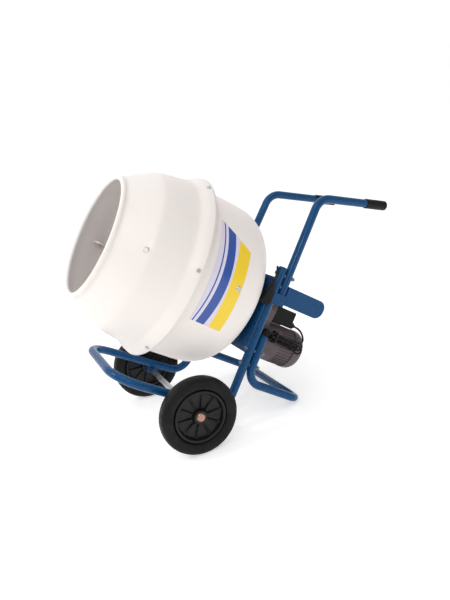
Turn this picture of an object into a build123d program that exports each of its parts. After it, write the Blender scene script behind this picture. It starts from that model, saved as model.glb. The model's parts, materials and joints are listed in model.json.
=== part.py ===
"""Two-wheeled wheelbarrow concrete mixer with a moulded drum, in millimetres.

X runs along the machine (drum mouth towards -X, handles towards +X), Y across it and
Z up from the floor.  The origin is the middle of the footprint.  Most pieces are placed
in the machine's own leaning frame: t is measured rearwards from the centre line of the
uprights, square to them, and s upwards along them from the corner of the frame tube.
The drum shaft runs along t, so the drum mouth points forwards and up.
"""
from build123d import *
import math
import os

# ---------------------------------------------------------------- driving dimensions
FIT = 0.04                  # radial clearance of a running fit
HOLE_CLEARANCE = 0.3        # radial clearance of a bolt hole
SHEET = 2.5                 # bent sheet parts

LEAN = 35.5                 # lean of the uprights behind the vertical, degrees
LOOP_RISE = 33.5            # rise of the front loop above the horizontal, degrees
TUBE = 28.0                 # outer diameter of every frame tube
TUBE_WALL = 2.0

WHEEL_R = 125.0
TRACK_HALF = 262.0          # middle plane of each wheel
TYRE_WIDTH = 50.0
RIM_R = 84.0                # seat of the tyre on the rim
RIM_WIDTH = 42.0
HUB_R = 22.0
HUB_LENGTH = 30.0
AXLE_D = 20.0
AXLE_TO_CORNER = 124.0      # from the axle rearwards along the loop to the frame corner

CORNER_HALF = 198.0         # half width of the frame tube at its lower corner
FRONT_HALF = 190.0          # half width at the front of the loop
HANDLE_HALF = 167.0         # half width where the handles bend
GRIP_HALF = 151.0           # half width at the grips
LOOP_LENGTH = 391.0         # corner to the front cross run
LOOP_RADIUS = 96.0
CORNER_RADIUS = 60.0
UPRIGHT_TOP = 494.0         # length of an upright above the corner

TUBE_GAP = 3.0              # spacer between bolted tubes
HANDLE_LOW = 378.0          # lower end of the handle tube
HANDLE_BEND = 756.0
HANDLE_RADIUS = 55.0
HANDLE_RISE = 18.75         # handle run above the square to the uprights, degrees
HANDLE_RUN = 284.0          # bend corner to the end of the grip
GRIP_LENGTH = 88.0
GRIP_WALL = 2.6

STAND_TOP = 263.0           # upper end of the stand's leg
STAND_REACH = 257.0         # rear cross run behind the uprights
STAND_RADIUS = 52.0
STAND_REAR_RADIUS = 42.0

BOLT_D = 8.0
HEAD_AF = 13.0              # across flats
HEAD_H = 5.3
HEAD_GAP = 0.2              # washer-thin gap where a flat seat meets a round tube
HANDLE_BOLTS = (436.0, 474.0)
STAND_BOLTS = (161.0, 209.0)

PLATE_T = 5.0               # drive plate in front of the uprights
PLATE_LOW = 195.0
PLATE_HIGH = 458.0

DRUM_AXIS = 351.0           # height of the drum shaft along the uprights
MOUTH_T = -567.0            # plane of the drum mouth
DRUM_WALL = 6.0
LIP_R = 8.0
MOUTH_R = 196.0             # middle of the rolled lip
CONE_R = 262.0
CONE_DEPTH = 102.0
WAIST_R = 283.0
WAIST_DEPTH = 205.0
SKIRT_R = 309.0             # flared skirt that laps over the bowl
SKIRT_DEPTH = 252.0
BOWL_R = 279.0
BOWL_ROUND = 412.0          # where the bowl begins to round off
BOTTOM_DEPTH = 538.0
BOTTOM_R = 150.0
SEAL_T = 2.0
BAND_BOLTS = 6
BAND_BOLT_ANGLE = 5.0
BAND_BOLT_DEPTH = 237.0

HUB_FLANGE_R = 95.0
HUB_FLANGE_T = 5.0
HUB_BOLT_CIRCLE = 70.0
SHAFT_D = 25.0

MOTOR_DROP = 108.0          # motor shaft below the drum shaft, along the uprights
MOTOR_R = 70.0
STAGE1_MODULE = 1.25
STAGE1_TEETH = (10, 90)
STAGE2_MODULE = 2.0
STAGE2_TEETH = (12, 60)
CASE_WALL = 8.0
CASE_SPLIT = 50.0           # joint between gear case and cover
CASE_REAR = 112.0
BELL_FLOOR = 21.0
BELL_REAR = 186.0           # front end shield of the motor
STATOR_REAR = 250.0
MOTOR_REAR = 296.0

BOX_FRONT = 116.0           # switch box on top of the motor
BOX_REAR = 220.0
BOX_LOW = 317.0
BOX_HIGH = 377.0
BOX_HALF = 35.0
BOX_WALL = 3.0
LID_T = 14.0                # depth of the rear cover that carries the buttons

GUARD_FRONT = TUBE / 2 + TUBE_GAP + TUBE
GUARD_REAR = 208.0
GUARD_LOW = 384.0
GUARD_HIGH = 447.0
GUARD_LOW_R = 32.0
GUARD_HIGH_R = 26.0

CORD_D = 7.0

# ---------------------------------------------------------------- the leaning frame
SIN = math.sin(math.radians(LEAN))
COS = math.cos(math.radians(LEAN))
RISE_SIN = math.sin(math.radians(LOOP_RISE))
RISE_COS = math.cos(math.radians(LOOP_RISE))
AXLE_DROP = (TUBE + AXLE_D) / 2                # axle welded under the loop
CORNER_FROM_AXLE = AXLE_TO_CORNER * RISE_COS + AXLE_DROP * RISE_SIN
CORNER_Z = WHEEL_R - AXLE_TO_CORNER * RISE_SIN + AXLE_DROP * RISE_COS
SECOND_T = TUBE + TUBE_GAP                     # centre line of a tube bolted behind
HANDLE_FLAT = math.radians(LEAN - HANDLE_RISE)  # fall of the handle run, from horizontal

LIP_OUT = MOUTH_R + LIP_R
FRONT_X = COS * MOUTH_T + SIN * (DRUM_AXIS - LIP_OUT) - LIP_R * COS
BACK_X = SIN * HANDLE_BEND + COS * SECOND_T + HANDLE_RUN * math.cos(HANDLE_FLAT) + 4
CORNER_X = -(FRONT_X + BACK_X) / 2             # puts the middle of the length at X = 0
AXLE_X = CORNER_X - CORNER_FROM_AXLE

REAR = Vector(COS, 0, -SIN)
UP = Vector(SIN, 0, COS)


def place(t, s, y=0.0):
    """Point t behind the uprights' centre line and s above the frame corner."""
    return Vector(CORNER_X + SIN * s + COS * t, y, CORNER_Z + COS * s - SIN * t)


def side_plane(y=0.0):
    """Sketch plane with axes (t, s), facing the -Y side."""
    return Plane(origin=place(0, 0, y), x_dir=REAR, z_dir=(0, -1, 0))


def cross_plane(t, s=0.0, y=0.0):
    """Sketch plane square to the drum shaft, with axes (Y, s), facing the rear."""
    return Plane(origin=place(t, s, y), x_dir=(0, 1, 0), z_dir=REAR)


def tube_half(s):
    """Half width of the frame at height s: the uprights and handles lean inwards."""
    return CORNER_HALF + (HANDLE_HALF - CORNER_HALF) * s / HANDLE_BEND


def loop_point(d, y):
    """Point on the loop's centre plane, d in front of the corner."""
    return Vector(CORNER_X - RISE_COS * d, y, CORNER_Z + RISE_SIN * d)


os.makedirs("parts", exist_ok=True)


def save(builder, name):
    """Label a finished piece and write it as its own file."""
    builder.part.label = name
    export_step(builder.part, f"parts/{name}.step")


def tube_along(points, radii, diameter=TUBE, wall=TUBE_WALL):
    """Hollow tube along straight runs joined by tangent arcs."""
    with BuildPart() as tube:
        with BuildLine() as route:
            if radii:
                FilletPolyline(*points, radius=radii)
            else:
                Polyline(*points)
        with BuildSketch(Plane(origin=route.line @ 0, z_dir=route.line % 0)):
            Circle(diameter / 2)
            if wall:
                Circle(diameter / 2 - wall, mode=Mode.SUBTRACT)
        sweep(path=route.line)
    return tube.part


def bolt_holes(heights):
    """Cutters along t through the tubes of both sides, at the heights given."""
    with BuildPart() as holes:
        for height in heights:
            for side in (-1, 1):
                with BuildSketch(cross_plane(-2 * TUBE, height, side * tube_half(height))):
                    Circle(BOLT_D / 2 + HOLE_CLEARANCE)
                extrude(amount=5 * TUBE)
    return holes.part


# ---------------------------------------------------------------- frame tubes
STAND_S = (TUBE / 2 - CORNER_Z + SIN * STAND_REACH) / COS   # rear run lies on the floor
HANDLE_DIR = (math.cos(math.radians(HANDLE_RISE)), math.sin(math.radians(HANDLE_RISE)))
CAP_GAP = 0.8                # end play of a wheel against its cap and washer
CAP_BASE = 2.4
CAP_RISE = 7.2

def make_main_frame():
    """Front loop and both uprights, bent from one tube."""
    points = [
        place(0, UPRIGHT_TOP, -tube_half(UPRIGHT_TOP)),
        place(0, 0, -CORNER_HALF),
        loop_point(LOOP_LENGTH, -FRONT_HALF),
        loop_point(LOOP_LENGTH, FRONT_HALF),
        place(0, 0, CORNER_HALF),
        place(0, UPRIGHT_TOP, tube_half(UPRIGHT_TOP)),
    ]
    with BuildPart() as frame:
        add(tube_along(points, [CORNER_RADIUS, LOOP_RADIUS, LOOP_RADIUS, CORNER_RADIUS]))
        add(bolt_holes(HANDLE_BOLTS + STAND_BOLTS), mode=Mode.SUBTRACT)
    save(frame, "main_frame")


def make_rear_stand():
    """Rear leg loop: two legs bolted behind the uprights and a cross run on the floor."""
    half = tube_half(STAND_S)
    points = [
        place(SECOND_T, STAND_TOP, -tube_half(STAND_TOP)),
        place(SECOND_T, STAND_S, -half),
        place(STAND_REACH, STAND_S, -half),
        place(STAND_REACH, STAND_S, half),
        place(SECOND_T, STAND_S, half),
        place(SECOND_T, STAND_TOP, tube_half(STAND_TOP)),
    ]
    radii = [STAND_RADIUS, STAND_REAR_RADIUS, STAND_REAR_RADIUS, STAND_RADIUS]
    with BuildPart() as stand:
        add(tube_along(points, radii))
        add(bolt_holes(STAND_BOLTS), mode=Mode.SUBTRACT)
    save(stand, "rear_stand")


def handle_end(side, back_off=0.0):
    """Point on the handle's run, back_off before its rear end."""
    run = HANDLE_RUN - back_off
    y = HANDLE_HALF + (GRIP_HALF - HANDLE_HALF) * run / HANDLE_RUN
    t = SECOND_T + HANDLE_DIR[0] * run
    return place(t, HANDLE_BEND + HANDLE_DIR[1] * run, side * y)


def make_handle(side, name):
    """One handle tube, from beside the upright up and back to the grip."""
    points = [
        place(SECOND_T, HANDLE_LOW, side * tube_half(HANDLE_LOW)),
        place(SECOND_T, HANDLE_BEND, side * HANDLE_HALF),
        handle_end(side, back_off=GRIP_WALL),
    ]
    with BuildPart() as handle:
        add(tube_along(points, [HANDLE_RADIUS]))
        add(bolt_holes(HANDLE_BOLTS), mode=Mode.SUBTRACT)
    save(handle, name)


def make_grip(side, name):
    """Rubber sleeve with a closed, rounded rear end."""
    end = handle_end(side)
    start = handle_end(side, back_off=GRIP_LENGTH)
    with BuildPart() as grip:
        with BuildSketch(Plane(origin=start, z_dir=end - start)):
            Circle(TUBE / 2 + GRIP_WALL)
        extrude(amount=(end - start).length)
        fillet(grip.edges().filter_by(GeomType.CIRCLE).sort_by_distance(end)[0], radius=4)
        with BuildSketch(Plane(origin=start, z_dir=end - start)):
            Circle(TUBE / 2)
        extrude(amount=(end - start).length - GRIP_WALL + 0.1, mode=Mode.SUBTRACT)
    save(grip, name)


def make_tube_caps():
    """Domed plugs in the four open tube ends: uprights, and stand legs."""
    with BuildPart() as caps:
        for side in (-1, 1):
            for t, s in ((0, UPRIGHT_TOP), (SECOND_T, STAND_TOP)):
                y = side * tube_half(s)
                along = place(t, s, y) - place(t, s - 100, side * tube_half(s - 100))
                with BuildSketch(Plane(origin=place(t, s, y), z_dir=along)):
                    Circle(TUBE / 2)
                extrude(amount=4, taper=28)
                with BuildSketch(Plane(origin=place(t, s, y), z_dir=along)):
                    Circle(TUBE / 2 - TUBE_WALL)
                extrude(amount=-12)
    save(caps, "tube_caps")


def make_axle():
    """Round bar under the loop, with the wheels on its ends."""
    half = TRACK_HALF + HUB_LENGTH / 2 + CAP_GAP + CAP_BASE / 2
    with BuildPart() as axle:
        with BuildSketch(Plane(origin=(AXLE_X, -half, WHEEL_R), z_dir=(0, 1, 0))):
            Circle(AXLE_D / 2)
        extrude(amount=2 * half)
    save(axle, "axle")


def make_axle_brackets():
    """Welded saddles that carry the axle under the loop tube, one each side."""
    along = Vector(-RISE_COS, 0, RISE_SIN)
    down = Vector(-RISE_SIN, 0, -RISE_COS)
    with BuildPart() as brackets:
        for side in (-1, 1):
            y = side * (CORNER_HALF + (FRONT_HALF - CORNER_HALF) * AXLE_TO_CORNER / LOOP_LENGTH)
            origin = loop_point(AXLE_TO_CORNER, y)
            with BuildSketch(Plane(origin=origin, x_dir=along, z_dir=along.cross(down))):
                with BuildLine():
                    Polyline((-26, 4), (26, 4), (16, AXLE_DROP + 12), (-16, AXLE_DROP + 12), close=True)
                make_face()
                with Locations((0, AXLE_DROP)):
                    Circle(AXLE_D / 2 + 0.05, mode=Mode.SUBTRACT)
            extrude(amount=5, both=True)
            tube_start = place(0, 0, side * CORNER_HALF)
            tube_end = loop_point(LOOP_LENGTH, side * FRONT_HALF)
            with BuildSketch(Plane(origin=tube_start, z_dir=tube_end - tube_start)):
                Circle(TUBE / 2 + 0.05)
            extrude(amount=LOOP_LENGTH, mode=Mode.SUBTRACT)
    save(brackets, "axle_brackets")


# ---------------------------------------------------------------- fasteners of the frame
def hexagon(across_flats=HEAD_AF):
    """Hexagon sketch by its width across flats."""
    return RegularPolygon(across_flats / 2, 6, major_radius=False)


def make_frame_bolts():
    """Hexagon bolts through two tubes: heads in front, plain shanks to the rear."""
    head_t = -TUBE / 2
    end_t = SECOND_T + TUBE / 2 + SHEET + HEAD_H + 5
    with BuildPart() as bolts:
        for height in HANDLE_BOLTS + STAND_BOLTS:
            for side in (-1, 1):
                y = side * tube_half(height)
                with BuildSketch(cross_plane(head_t, height, y)):
                    Circle(BOLT_D / 2)
                extrude(amount=end_t - head_t)
                with BuildSketch(cross_plane(head_t - HEAD_GAP, height, y)):
                    hexagon()
                extrude(amount=-HEAD_H)
                with BuildSketch(cross_plane(head_t, height, y)):
                    Circle(BOLT_D / 2)
                extrude(amount=-HEAD_H)
    save(bolts, "frame_bolts")


def make_frame_nuts():
    """Nuts behind the rear tube; the lowest handle bolts also clamp the guard's ears."""
    with BuildPart() as nuts:
        for height in HANDLE_BOLTS + STAND_BOLTS:
            if height == HANDLE_BOLTS[0]:
                under = SHEET
            else:
                under = HEAD_GAP
            for side in (-1, 1):
                seat = SECOND_T + TUBE / 2 + under
                with BuildSketch(cross_plane(seat, height, side * tube_half(height))):
                    hexagon()
                    Circle(BOLT_D / 2 + 0.02, mode=Mode.SUBTRACT)
                extrude(amount=HEAD_H + 1)
    save(nuts, "frame_nuts")


def make_spacers():
    """Zinc spacers between two bolted tubes."""
    with BuildPart() as spacers:
        for height in HANDLE_BOLTS + STAND_BOLTS:
            for side in (-1, 1):
                with BuildSketch(cross_plane(TUBE / 2, height, side * tube_half(height))):
                    Circle(7)
                    Circle(BOLT_D / 2 + HOLE_CLEARANCE, mode=Mode.SUBTRACT)
                extrude(amount=TUBE_GAP)
    save(spacers, "tube_spacers")


def make_handle_sockets():
    """Sheet cups welded to the uprights, holding the lower ends of the handle tubes."""
    low, high = HANDLE_LOW - SHEET - 0.2, HANDLE_LOW + 34
    rear = SECOND_T + TUBE / 2
    with BuildPart() as sockets:
        for side in (-1, 1):
            foot = place(0, low, side * tube_half(low))
            top = place(0, high, side * tube_half(high))
            lean = (top - foot).normalized()
            out = REAR.cross(lean).normalized()
            for across in (-1, 1):
                cheek = foot + out * (across * (TUBE / 2 + 0.1 + SHEET / 2))
                with BuildSketch(Plane(origin=cheek, x_dir=REAR, z_dir=out)):
                    with Locations(((rear - 4) / 2, (high - low) / 2)):
                        Rectangle(rear + 4, high - low)
                extrude(amount=SHEET / 2, both=True)
            with BuildSketch(Plane(origin=foot, x_dir=REAR, z_dir=lean)):
                with Locations(((rear + TUBE / 2 + 0.5) / 2, 0)):
                    Rectangle(rear - TUBE / 2 - 0.5, TUBE + 0.2 + 2 * SHEET)
            extrude(amount=SHEET)
    save(sockets, "handle_sockets")


# ---------------------------------------------------------------- drive plate and guard
def make_drive_plate():
    """Flat plate welded across the front of the uprights, carrying the drum drive."""
    front = -TUBE / 2 - PLATE_T
    edge = 6.0
    with BuildPart() as plate:
        with BuildSketch(cross_plane(front)) as outline:
            with BuildLine():
                low, high = tube_half(PLATE_LOW) + edge, tube_half(PLATE_HIGH) + edge
                Polyline((-low, PLATE_LOW), (low, PLATE_LOW), (high, PLATE_HIGH),
                         (-high, PLATE_HIGH), close=True)
            make_face()
            fillet(outline.vertices(), radius=9)
            with Locations((0, DRUM_AXIS)):
                Circle(SHAFT_D / 2 + 7, mode=Mode.SUBTRACT)
            for y, s in CASE_BOLTS:
                with Locations((y, s)):
                    Circle(BOLT_D / 2 + HOLE_CLEARANCE, mode=Mode.SUBTRACT)
            for height in HANDLE_BOLTS + STAND_BOLTS:
                for side in (-1, 1):
                    with Locations((side * tube_half(height), height)):
                        Circle(HEAD_AF / 2 + 2, mode=Mode.SUBTRACT)
        extrude(amount=PLATE_T)
    save(plate, "drive_plate")


def make_motor_guard():
    """Bent sheet hood behind the uprights that shields the switch box and the motor."""
    half = tube_half(GUARD_HIGH) + TUBE / 2 - 2
    ear = 26.0
    with BuildPart() as guard:
        with BuildSketch(side_plane(half)) as cheek:
            with Locations(((GUARD_FRONT + GUARD_REAR) / 2, (GUARD_LOW + GUARD_HIGH) / 2)):
                Rectangle(GUARD_REAR - GUARD_FRONT, GUARD_HIGH - GUARD_LOW)
            fillet(cheek.vertices().sort_by(Axis.X)[2:].sort_by(Axis.Y)[0], radius=GUARD_LOW_R)
            fillet(cheek.vertices().sort_by(Axis.X)[-2:].sort_by(Axis.Y)[-1], radius=GUARD_HIGH_R)
        extrude(amount=2 * half)
        inner_half = half - SHEET
        with BuildSketch(side_plane(inner_half)):
            with Locations(((GUARD_FRONT + GUARD_REAR) / 2, (GUARD_LOW + GUARD_HIGH) / 2 - SHEET)):
                Rectangle(GUARD_REAR - GUARD_FRONT + 20, GUARD_HIGH - GUARD_LOW)
        extrude(amount=2 * inner_half, mode=Mode.SUBTRACT)
        for side in (-1, 1):
            with BuildSketch(cross_plane(GUARD_FRONT)):
                with Locations((side * (half - ear / 2 - SHEET / 2), (GUARD_LOW + GUARD_HIGH) / 2 + 10)):
                    Rectangle(ear + SHEET, GUARD_HIGH - GUARD_LOW - 20)
                with Locations((side * tube_half(HANDLE_BOLTS[0]), HANDLE_BOLTS[0])):
                    Circle(BOLT_D / 2 + HOLE_CLEARANCE, mode=Mode.SUBTRACT)
            extrude(amount=SHEET)
    save(guard, "motor_guard")


# ---------------------------------------------------------------- gear geometry
MOTOR_BOLTS = [
    (36.0 * math.cos(math.radians(turn)), DRUM_AXIS - MOTOR_DROP + 36.0 * math.sin(math.radians(turn)))
    for turn in (0, 90, 180, 270)
]
STAGE1_CENTRES = STAGE1_MODULE * sum(STAGE1_TEETH) / 2
STAGE2_CENTRES = STAGE2_MODULE * sum(STAGE2_TEETH) / 2
MOTOR_S = DRUM_AXIS - MOTOR_DROP
LAY_DROP = (STAGE2_CENTRES**2 - STAGE1_CENTRES**2 + MOTOR_DROP**2) / (2 * MOTOR_DROP)
LAY_Y = math.sqrt(STAGE2_CENTRES**2 - LAY_DROP**2)
LAY_S = DRUM_AXIS - LAY_DROP
STAGE1_T = (62.0, 82.0)
STAGE2_T = (10.0, 44.0)
FRONT_BEARING_T = (-7.0, 8.0)
REAR_BEARING_T = (90.0, 104.0)


def gear_outline(module, teeth, phase):
    """Closed outline of a spur gear: straight flanks, thinned teeth, phase in degrees."""
    pitch_r = module * teeth / 2
    root_r = pitch_r - 1.25 * module
    tip_r = pitch_r + 0.92 * module
    step = 360.0 / teeth
    root_half = 0.34 * step
    tip_half = 0.085 * step
    points = []
    for index in range(teeth):
        middle = phase + index * step
        for radius, turn in ((root_r, -root_half), (tip_r, -tip_half), (tip_r, tip_half), (root_r, root_half)):
            angle = math.radians(middle + turn)
            points.append((radius * math.cos(angle), radius * math.sin(angle)))
    return points


def direction(y_from, s_from, y_to, s_to):
    """Angle in the (Y, s) plane from one shaft to another, degrees."""
    return math.degrees(math.atan2(s_to - s_from, y_to - y_from))


DRUM_TO_LAY = direction(0, DRUM_AXIS, LAY_Y, LAY_S)
LAY_TO_MOTOR = direction(LAY_Y, LAY_S, 0, MOTOR_S)
LAY_TO_DRUM = DRUM_TO_LAY + 180
MOTOR_TO_LAY = LAY_TO_MOTOR + 180


def case_hull(shrink=0.0):
    """Outline round the three shafts of the gear case, made smaller by shrink."""
    for y, s, radius in CASE_CIRCLES:
        with Locations((y, s)):
            Circle(radius - shrink)
    make_hull()


CASE_LUG_R = 12.0
CASE_LUG_OUT = 10.0          # bolt circle outside the hull


def lug(y, s, radius, angle):
    """Place of a case bolt just outside one circle of the hull."""
    reach = radius + CASE_LUG_OUT
    return y + reach * math.cos(math.radians(angle)), s + reach * math.sin(math.radians(angle))


CASE_CIRCLES = (
    (0.0, DRUM_AXIS, STAGE2_MODULE * STAGE2_TEETH[1] / 2 + 14),
    (LAY_Y, LAY_S, STAGE1_MODULE * STAGE1_TEETH[1] / 2 + 12),
    (0.0, MOTOR_S, 52.0),
)
CASE_BOLTS = [
    lug(*CASE_CIRCLES[0], 55), lug(*CASE_CIRCLES[0], 125), lug(*CASE_CIRCLES[0], 185),
    lug(*CASE_CIRCLES[1], 0), lug(*CASE_CIRCLES[1], -50), lug(*CASE_CIRCLES[2], 195),
]


def case_outline():
    """Hull of the case with its bolt lugs."""
    case_hull()
    for y, s in CASE_BOLTS:
        with Locations((y, s)):
            Circle(CASE_LUG_R)


FRONT_T = -TUBE / 2                    # back face of the drive plate
DRUM_BEARING_R = 26.0
LAY_BEARING_R = 17.5
LAY_SHAFT_D = 15.0
SEAL_R = 21.0


def make_gearbox_case():
    """Front half of the gear case, bolted to the back of the drive plate."""
    with BuildPart() as case:
        with BuildSketch(cross_plane(FRONT_T)):
            case_outline()
        extrude(amount=CASE_SPLIT - FRONT_T)
        with BuildSketch(cross_plane(FRONT_T + CASE_WALL)):
            case_hull(CASE_WALL)
        extrude(amount=CASE_SPLIT - FRONT_T, mode=Mode.SUBTRACT)
        for y, s, radius in ((0, DRUM_AXIS, DRUM_BEARING_R), (LAY_Y, LAY_S, LAY_BEARING_R)):
            with BuildSketch(cross_plane(FRONT_T + CASE_WALL, s, y)):
                Circle(radius + 6)
            extrude(amount=FRONT_BEARING_T[1] - FRONT_T - CASE_WALL)
            with BuildSketch(cross_plane(FRONT_BEARING_T[0], s, y)):
                Circle(radius)
            extrude(amount=FRONT_BEARING_T[1] - FRONT_BEARING_T[0], mode=Mode.SUBTRACT)
        with BuildSketch(cross_plane(FRONT_T, DRUM_AXIS)):
            Circle(SEAL_R)
        extrude(amount=CASE_WALL, mode=Mode.SUBTRACT)
        with BuildSketch(cross_plane(FRONT_T)):
            for y, s in CASE_BOLTS:
                with Locations((y, s)):
                    Circle(BOLT_D / 2 + HOLE_CLEARANCE)
        extrude(amount=CASE_SPLIT - FRONT_T, mode=Mode.SUBTRACT)
    save(case, "gearbox_case")


def make_gearbox_cover():
    """Rear half of the gear case, with the rear bearings and the motor seat."""
    with BuildPart() as cover:
        with BuildSketch(cross_plane(CASE_SPLIT)):
            case_hull()
        extrude(amount=CASE_REAR - CASE_SPLIT)
        outer_edges = cover.faces().sort_by(Axis(place(0, 0), REAR))[-1].edges()
        fillet(outer_edges, radius=5)
        with BuildSketch(cross_plane(CASE_SPLIT)):
            for y, s in CASE_BOLTS:
                with Locations((y, s)):
                    Circle(CASE_LUG_R)
        extrude(amount=12)
        with BuildSketch(cross_plane(CASE_SPLIT)):
            case_hull(CASE_WALL)
        extrude(amount=CASE_REAR - CASE_SPLIT - CASE_WALL, mode=Mode.SUBTRACT)
        for y, s, radius in ((0, DRUM_AXIS, LAY_BEARING_R), (LAY_Y, LAY_S, LAY_BEARING_R)):
            with BuildSketch(cross_plane(REAR_BEARING_T[0], s, y)):
                Circle(radius + 5)
            extrude(amount=CASE_REAR - CASE_WALL - REAR_BEARING_T[0])
            with BuildSketch(cross_plane(REAR_BEARING_T[0], s, y)):
                Circle(radius)
            extrude(amount=REAR_BEARING_T[1] - REAR_BEARING_T[0], mode=Mode.SUBTRACT)
        with BuildSketch(cross_plane(CASE_SPLIT)):
            with Locations((0, MOTOR_S)):
                Circle(24)
            with Locations(*MOTOR_BOLTS):
                Circle(3.3)
        extrude(amount=CASE_REAR - CASE_SPLIT + 1, mode=Mode.SUBTRACT)
        with BuildSketch(cross_plane(CASE_SPLIT)):
            for y, s in CASE_BOLTS:
                with Locations((y, s)):
                    Circle(BOLT_D / 2 + HOLE_CLEARANCE)
        extrude(amount=12, mode=Mode.SUBTRACT)
    save(cover, "gearbox_cover")


def make_case_bolts():
    """Six bolts through cover, case and drive plate, with nuts in front of the plate."""
    with BuildPart() as bolts:
        for y, s in CASE_BOLTS:
            with BuildSketch(cross_plane(CASE_SPLIT + 12, s, y)):
                Circle(BOLT_D / 2)
            extrude(amount=-(CASE_SPLIT + 12 - FRONT_T + PLATE_T))
            with BuildSketch(cross_plane(CASE_SPLIT + 12, s, y)):
                hexagon()
            extrude(amount=HEAD_H)
    save(bolts, "gearbox_bolts")


def make_bearings():
    """Six ball bearings drawn as plain rings, a pair for each shaft."""
    seats = (
        (0, DRUM_AXIS, FRONT_BEARING_T, DRUM_BEARING_R, SHAFT_D),
        (0, DRUM_AXIS, REAR_BEARING_T, LAY_BEARING_R, LAY_SHAFT_D),
        (LAY_Y, LAY_S, FRONT_BEARING_T, LAY_BEARING_R, LAY_SHAFT_D),
        (LAY_Y, LAY_S, REAR_BEARING_T, LAY_BEARING_R, LAY_SHAFT_D),
        (0, MOTOR_S, BELL_BEARING_T, LAY_BEARING_R, ROTOR_D),
        (0, MOTOR_S, TAIL_BEARING_T, LAY_BEARING_R, ROTOR_D),
    )
    with BuildPart() as rings:
        for y, s, (t_from, t_to), outer, bore in seats:
            with BuildSketch(cross_plane(t_from, s, y)):
                Circle(outer)
                Circle(bore / 2 + FIT, mode=Mode.SUBTRACT)
            extrude(amount=t_to - t_from)
    save(rings, "ball_bearings")


def make_shaft_seal():
    """Lip seal in the front wall of the gear case."""
    with BuildPart() as seal:
        with BuildSketch(cross_plane(FRONT_T, DRUM_AXIS)):
            Circle(SEAL_R)
            Circle(SHAFT_D / 2 + FIT, mode=Mode.SUBTRACT)
        extrude(amount=FRONT_BEARING_T[0] - FRONT_T - 1)
    save(seal, "shaft_seal")


# ---------------------------------------------------------------- drum
def drum_t(depth):
    """Station behind the uprights of a depth behind the drum mouth."""
    return MOUTH_T + depth


DRUM_LINE = Axis(place(0, DRUM_AXIS), REAR)
CONE_OUTER = [(4, MOUTH_R + 4), (CONE_DEPTH - 6, CONE_R - 3.5), (CONE_DEPTH + 8, CONE_R + 2),
              (WAIST_DEPTH - 12, WAIST_R - 3), (WAIST_DEPTH, WAIST_R),
              (WAIST_DEPTH + 12, WAIST_R + 8), (SKIRT_DEPTH - 16, SKIRT_R - 6), (SKIRT_DEPTH, SKIRT_R)]


def skirt_inner(depth):
    """Radius of the skirt's inner face at a depth."""
    return outline_at(CONE_OUTER, depth)[0] - DRUM_WALL


def make_drum_cone():
    """Upper half of the drum: rolled lip, cone, waist and flared skirt."""
    inner = [(d, r - DRUM_WALL) for d, r in reversed(CONE_OUTER)]
    with BuildPart() as cone:
        with BuildSketch(side_plane()):
            with BuildLine():
                Polyline(*[(drum_t(d), DRUM_AXIS + r) for d, r in CONE_OUTER + inner], close=True)
            make_face()
            with Locations((drum_t(0), DRUM_AXIS + MOUTH_R)):
                Circle(LIP_R)
        revolve(axis=DRUM_LINE)
        add(skin_holes(CONE_OUTER, BAND_ANGLES, BAND_BOLT_DEPTH, 3.2), mode=Mode.SUBTRACT)
        add(skin_holes(CONE_OUTER, PADDLE_ANGLES, PADDLE_BOLT_DEPTHS[0], 4.2), mode=Mode.SUBTRACT)
    save(cone, "drum_cone")


BAND_ANGLES = [BAND_BOLT_ANGLE + 360 / BAND_BOLTS * index for index in range(BAND_BOLTS)]
PADDLE_ANGLES = [BAND_BOLT_ANGLE, BAND_BOLT_ANGLE + 180]
PADDLE_BOLT_DEPTHS = (87.0, 392.0)


def round_plane(angle, depth, radius, slope=0.0):
    """Plane facing outwards from the drum at an angle round the shaft.

    The angle is 0 on the -Y side and positive upwards; slope is the angle at which the
    wall's radius grows with depth, so the plane can lie flat on a cone.
    """
    turn = math.radians(angle)
    out = Vector(SIN * math.sin(turn), -math.cos(turn), COS * math.sin(turn))
    along = REAR * math.cos(slope) + out * math.sin(slope)
    normal = out * math.cos(slope) - REAR * math.sin(slope)
    return Plane(origin=place(drum_t(depth), DRUM_AXIS) + out * radius, x_dir=along, z_dir=normal)


def outline_at(outline, depth):
    """Radius and slope angle of an outline of (depth, radius) points at a depth."""
    for (d0, r0), (d1, r1) in zip(outline, outline[1:]):
        if d0 <= depth <= d1:
            break
    return r0 + (r1 - r0) * (depth - d0) / (d1 - d0), math.atan2(r1 - r0, d1 - d0)


def skin_plane(outline, angle, depth, sink=0.0):
    """Plane lying on a half's outer skin, or sink below it along the normal."""
    radius, slope = outline_at(outline, depth)
    return round_plane(angle, depth, radius, slope).offset(-sink)


def skin_holes(outline, angles, depth, hole_r):
    """Cutters square to the drum's skin."""
    with BuildPart() as holes:
        for angle in angles:
            with BuildSketch(skin_plane(outline, angle, depth, sink=-10)):
                Circle(hole_r)
            extrude(amount=-50)
    return holes.part


def bowl_outer():
    """Outer outline of the bowl, from its rim under the skirt to the flat bottom."""
    lap = SEAL_T + 0.05
    rim = [(d, skirt_inner(d) - lap) for d in (WAIST_DEPTH + 24, SKIRT_DEPTH - 16, SKIRT_DEPTH - 4)]
    shell = [(SKIRT_DEPTH + 8, BOWL_R), (BOWL_ROUND, BOWL_R - 1)]
    depth_span = BOTTOM_DEPTH - BOWL_ROUND
    for share in (0.22, 0.4, 0.56, 0.7, 0.82, 0.92):
        fall = 1 - math.sqrt(1 - (share * 0.843) ** 2)
        shell.append((BOWL_ROUND + depth_span * share, BOWL_R - 1 - BOWL_R * fall * 1.0))
    return rim + shell + [(BOTTOM_DEPTH, BOTTOM_R)]


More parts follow.
